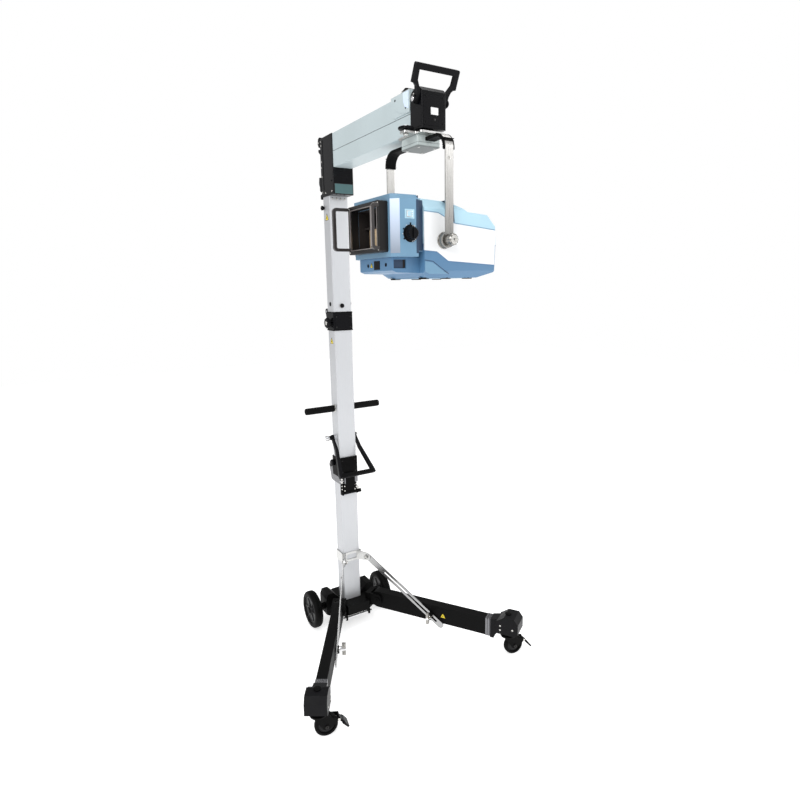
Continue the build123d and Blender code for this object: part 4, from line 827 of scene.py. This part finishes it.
def dress_stay_knob(side, label):
    """Hub and two wings of the knob that clamps one stay."""
    knob = "stay_knob_" + label
    hub = [(31.9, 8.4), (33, 9.6), (43, 9.6), (46, 8.0), (57.4, 6.6), (58.6, 5.0)]
    lathe("stay_knob_hub_" + label, hub, leg_point(side, *STAY_KNOB), leg_directions(side)[1], "chrome",
          knob, steps=36)
    wing = [(-12, 2.4), (-9, 4.8), (-2, 6.2), (5, 5.4), (6.4, 2.6)]
    for up in (1, -1):
        tip = leg_point(side, STAY_KNOB[0], STAY_KNOB[1] + up * 19, 51)
        lathe(f"stay_knob_wing_{label}_{up + 1}", wing, tip, (0, 0, up), "knob", knob, steps=20)


def dress_caster(side, label):
    """Tyre, hub, nuts, race and pedal details of one caster."""
    wheel, fork, brake = "caster_wheel_" + label, "caster_" + label, "brake_" + label
    trail = Vector((cos(CASTER_TURN), sin(CASTER_TURN), 0))
    across = Vector((sin(CASTER_TURN), -cos(CASTER_TURN), 0))
    up = Vector((0, 0, 1))
    stem = leg_point(side, STEM_R, 0)
    hub = stem + trail * CASTER_TRAIL + up * CASTER_R
    half_tyre = [(0.2, 39.4), (0.9, CASTER_R), (4.0, CASTER_R), (7.2, 39.3), (9.4, 37.4), (10.9, 34.6),
                 (11.1, 29.0), (9.0, 28.0), (6.0, 27.6), (6.0, 4.0)]
    half_disc = [(5.6, 27.4), (6.6, 27.0), (6.9, 22.0), (8.6, 20.6), (8.6, 13.0), (11.4, 12.0), (11.6, 6.2)]
    for s in (1, -1):
        tag = label + ("_a" if s > 0 else "_b")
        tread = lathe("caster_tread_" + tag, half_tyre, hub, across * s, "tyre", wheel, steps=72)
        if s > 0:
            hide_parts(wheel)
        lathe("caster_disc_" + tag, half_disc, hub, across * s, "hub", wheel, steps=60)
        for k in range(6):
            angle = 2 * pi * k / 6
            at = hub + (trail * cos(angle) + up * sin(angle)) * 17.4 + across * s * 8.2
            lathe(f"caster_dimple_{tag}_{k}", [(0, 2.4), (0.7, 2.2), (0.9, 1.2)], at, across * s, "frame",
                  wheel, steps=12)
        screw("caster_axle_nut_" + tag, hub + across * s * 16.8, across * s, 6.4, 4.2, fork, "frame")
    race = [(84.4, 27), (86, 30.5), (90, 31), (92.6, 28), (94, 20), (100, 18), (103.2, 17)]
    lathe("caster_race_" + label, race, stem, up, "black", fork, steps=52)
    pedal = stem + trail * 66 + up * 57
    for s in (1, -1):
        screw(f"pedal_pin_{label}_{s + 1}", pedal + across * s * 16.6, across * s, 4.6, 2.2, brake, "zinc")
    rib = [(-17.5, 0.8), (-16.8, 1.4), (16.8, 1.4), (17.5, 0.8)]
    for k in range(4):
        at = pedal + trail * (14 + 4.6 * k) - up * (9.6 + 5.8 * k)
        lathe(f"pedal_rib_{label}_{k}", rib, at, across, "black_plastic", brake, steps=10)


def dress_rear_wheel(side, label):
    """Grooved tyre, dished hub, spokes and cap of one rear wheel."""
    body = "rear_wheel_" + label
    wheel = Vector((side * REAR_WHEEL[0], *REAR_WHEEL[1:]))
    half_tyre = [(0.8, 79.0), (1.4, 80.0), (5.4, 80.0), (6.0, 79.0), (7.0, 79.0), (7.6, 79.9), (11.6, 79.0),
                 (15.6, 75.6), (17.8, 70.6), (18.0, 62.0), (16.0, 57.0), (9.0, 55.0), (9.0, 10.0)]
    half_dish = [(9.2, 57.0), (12.8, 56.0), (13.4, 52.0), (10.2, 49.0), (9.8, 24.0), (15.4, 21.0),
                 (18.6, 19.6), (18.8, 9.0)]
    spoke = [(20, -4.2), (51, -3.0), (51, 3.0), (20, 4.2)]
    for s in (1, -1):
        tag = label + ("_out" if s > 0 else "_in")
        axis = Vector((side * s, 0, 0))
        tread = lathe("rear_tread_" + tag, half_tyre, wheel, axis, "tyre", body, steps=96)
        if s > 0:
            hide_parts(body)
        lathe("rear_dish_" + tag, half_dish, wheel, axis, "hub", body, steps=72)
        for k in range(6):
            angle = 2 * pi * k / 6
            outward = Vector((0, cos(angle), sin(angle)))
            round_hub = Vector((0, -sin(angle), cos(angle)))
            prism(f"rear_spoke_{tag}_{k}", (spoke, 9.4, 13.2),
                  lambda u, v, w: wheel + outward * u + round_hub * v + axis * w, "hub", body, 0.8)
    lathe("rear_cap_" + label, [(18.6, 15), (20.6, 15), (22.6, 12.4), (23.2, 7.0)], wheel, (side, 0, 0),
          "black", "base", steps=36)


for side, label in SIDES:
    dress_leg(side, label)
    dress_stay_knob(side, label)
    dress_caster(side, label)
    dress_rear_wheel(side, label)

for k, (x, z) in enumerate(((-33, 322), (33, 322), (-33, 297), (33, 297))):
    screw(f"bracket_bolt_{k}", (x, -34.0, z), (0, -1, 0), 3.6, 2.0, "base")
for side, label in SIDES:
    lathe("rod_nut_" + label, [(60.4, 6.8), (66.0, 6.8), (67.0, 5.8)], (0, -73, 47), (side, 0, 0), "zinc",
          "base", steps=6)
    screw("post_screw_" + label, (side * 40, -8, 205), (side, 0, 0), 5.2, 2.6, "base", "black")

# ---------------------------------------------------------------- floor, light, camera
SKY_STRENGTH = 0.55
FLOOR_SIZE, FLOOR_GLOW = 9, 0.6
LENS_MM, SENSOR_MM = 26.396, 36
CAMERA_AT = (-1.0567, -2.217, 1.480)
YAW, PITCH, ROLL = radians(31.165), radians(11.031), radians(-1.0158)

floor_mesh = bpy.data.meshes.new("floor")
bm = bmesh.new()
bmesh.ops.create_grid(bm, x_segments=1, y_segments=1, size=FLOOR_SIZE)
bm.to_mesh(floor_mesh)
bm.free()
floor = bpy.data.objects.new("floor", floor_mesh)
bpy.context.collection.objects.link(floor)
floor_mesh.materials.append(new_material("floor_white", (0.93, 0.93, 0.93), 0.7,
                                         Emission_Color=(1, 1, 1, 1), Emission_Strength=FLOOR_GLOW))

# the sky lights the part softly, and the camera sees it as plain white
world = bpy.data.worlds.new("studio")
scene.world = world
world.use_nodes = True
tree = world.node_tree
soft = tree.nodes["Background"]
soft.inputs["Strength"].default_value = SKY_STRENGTH
soft.inputs["Color"].default_value = (1, 1, 1, 1)
plain = tree.nodes.new("ShaderNodeBackground")
plain.inputs["Color"].default_value = (1, 1, 1, 1)
rays = tree.nodes.new("ShaderNodeLightPath")
blend = tree.nodes.new("ShaderNodeMixShader")
tree.links.new(rays.outputs["Is Camera Ray"], blend.inputs["Fac"])
tree.links.new(soft.outputs["Background"], blend.inputs[1])
tree.links.new(plain.outputs["Background"], blend.inputs[2])
tree.links.new(blend.outputs["Shader"], tree.nodes["World Output"].inputs["Surface"])


def area_light(name, place, target, size, power):
    """A soft square light aimed at a point."""
    data = bpy.data.lights.new(name, "AREA")
    data.size = size
    data.energy = power
    obj = bpy.data.objects.new(name, data)
    bpy.context.collection.objects.link(obj)
    obj.location = place
    obj.rotation_euler = (Vector(target) - Vector(place)).to_track_quat("-Z", "Y").to_euler()


area_light("key", (-2.6, -2.6, 3.2), (0, -0.4, 1.3), 1.8, 60)
area_light("side_fill", (2.8, -2.4, 2.4), (0, -0.5, 1.2), 2.2, 40)
area_light("top", (0.2, -0.6, 4.2), (0, -0.5, 1.6), 2.0, 35)

camera_data = bpy.data.cameras.new("camera")
camera_data.lens = LENS_MM
camera_data.sensor_width = SENSOR_MM
camera = bpy.data.objects.new("camera", camera_data)
bpy.context.collection.objects.link(camera)
scene.camera = camera
ahead = Vector((sin(YAW) * cos(PITCH), cos(YAW) * cos(PITCH), -sin(PITCH)))
sideways = Vector((cos(YAW), -sin(YAW), 0))
upward = sideways.cross(ahead)
cam_x = sideways * cos(ROLL) + upward * sin(ROLL)
cam_y = upward * cos(ROLL) - sideways * sin(ROLL)
rows = [(cam_x[i], cam_y[i], -ahead[i], CAMERA_AT[i]) for i in range(3)]
camera.matrix_world = Matrix((*rows, (0, 0, 0, 1)))
scene.view_settings.view_transform = "Standard"
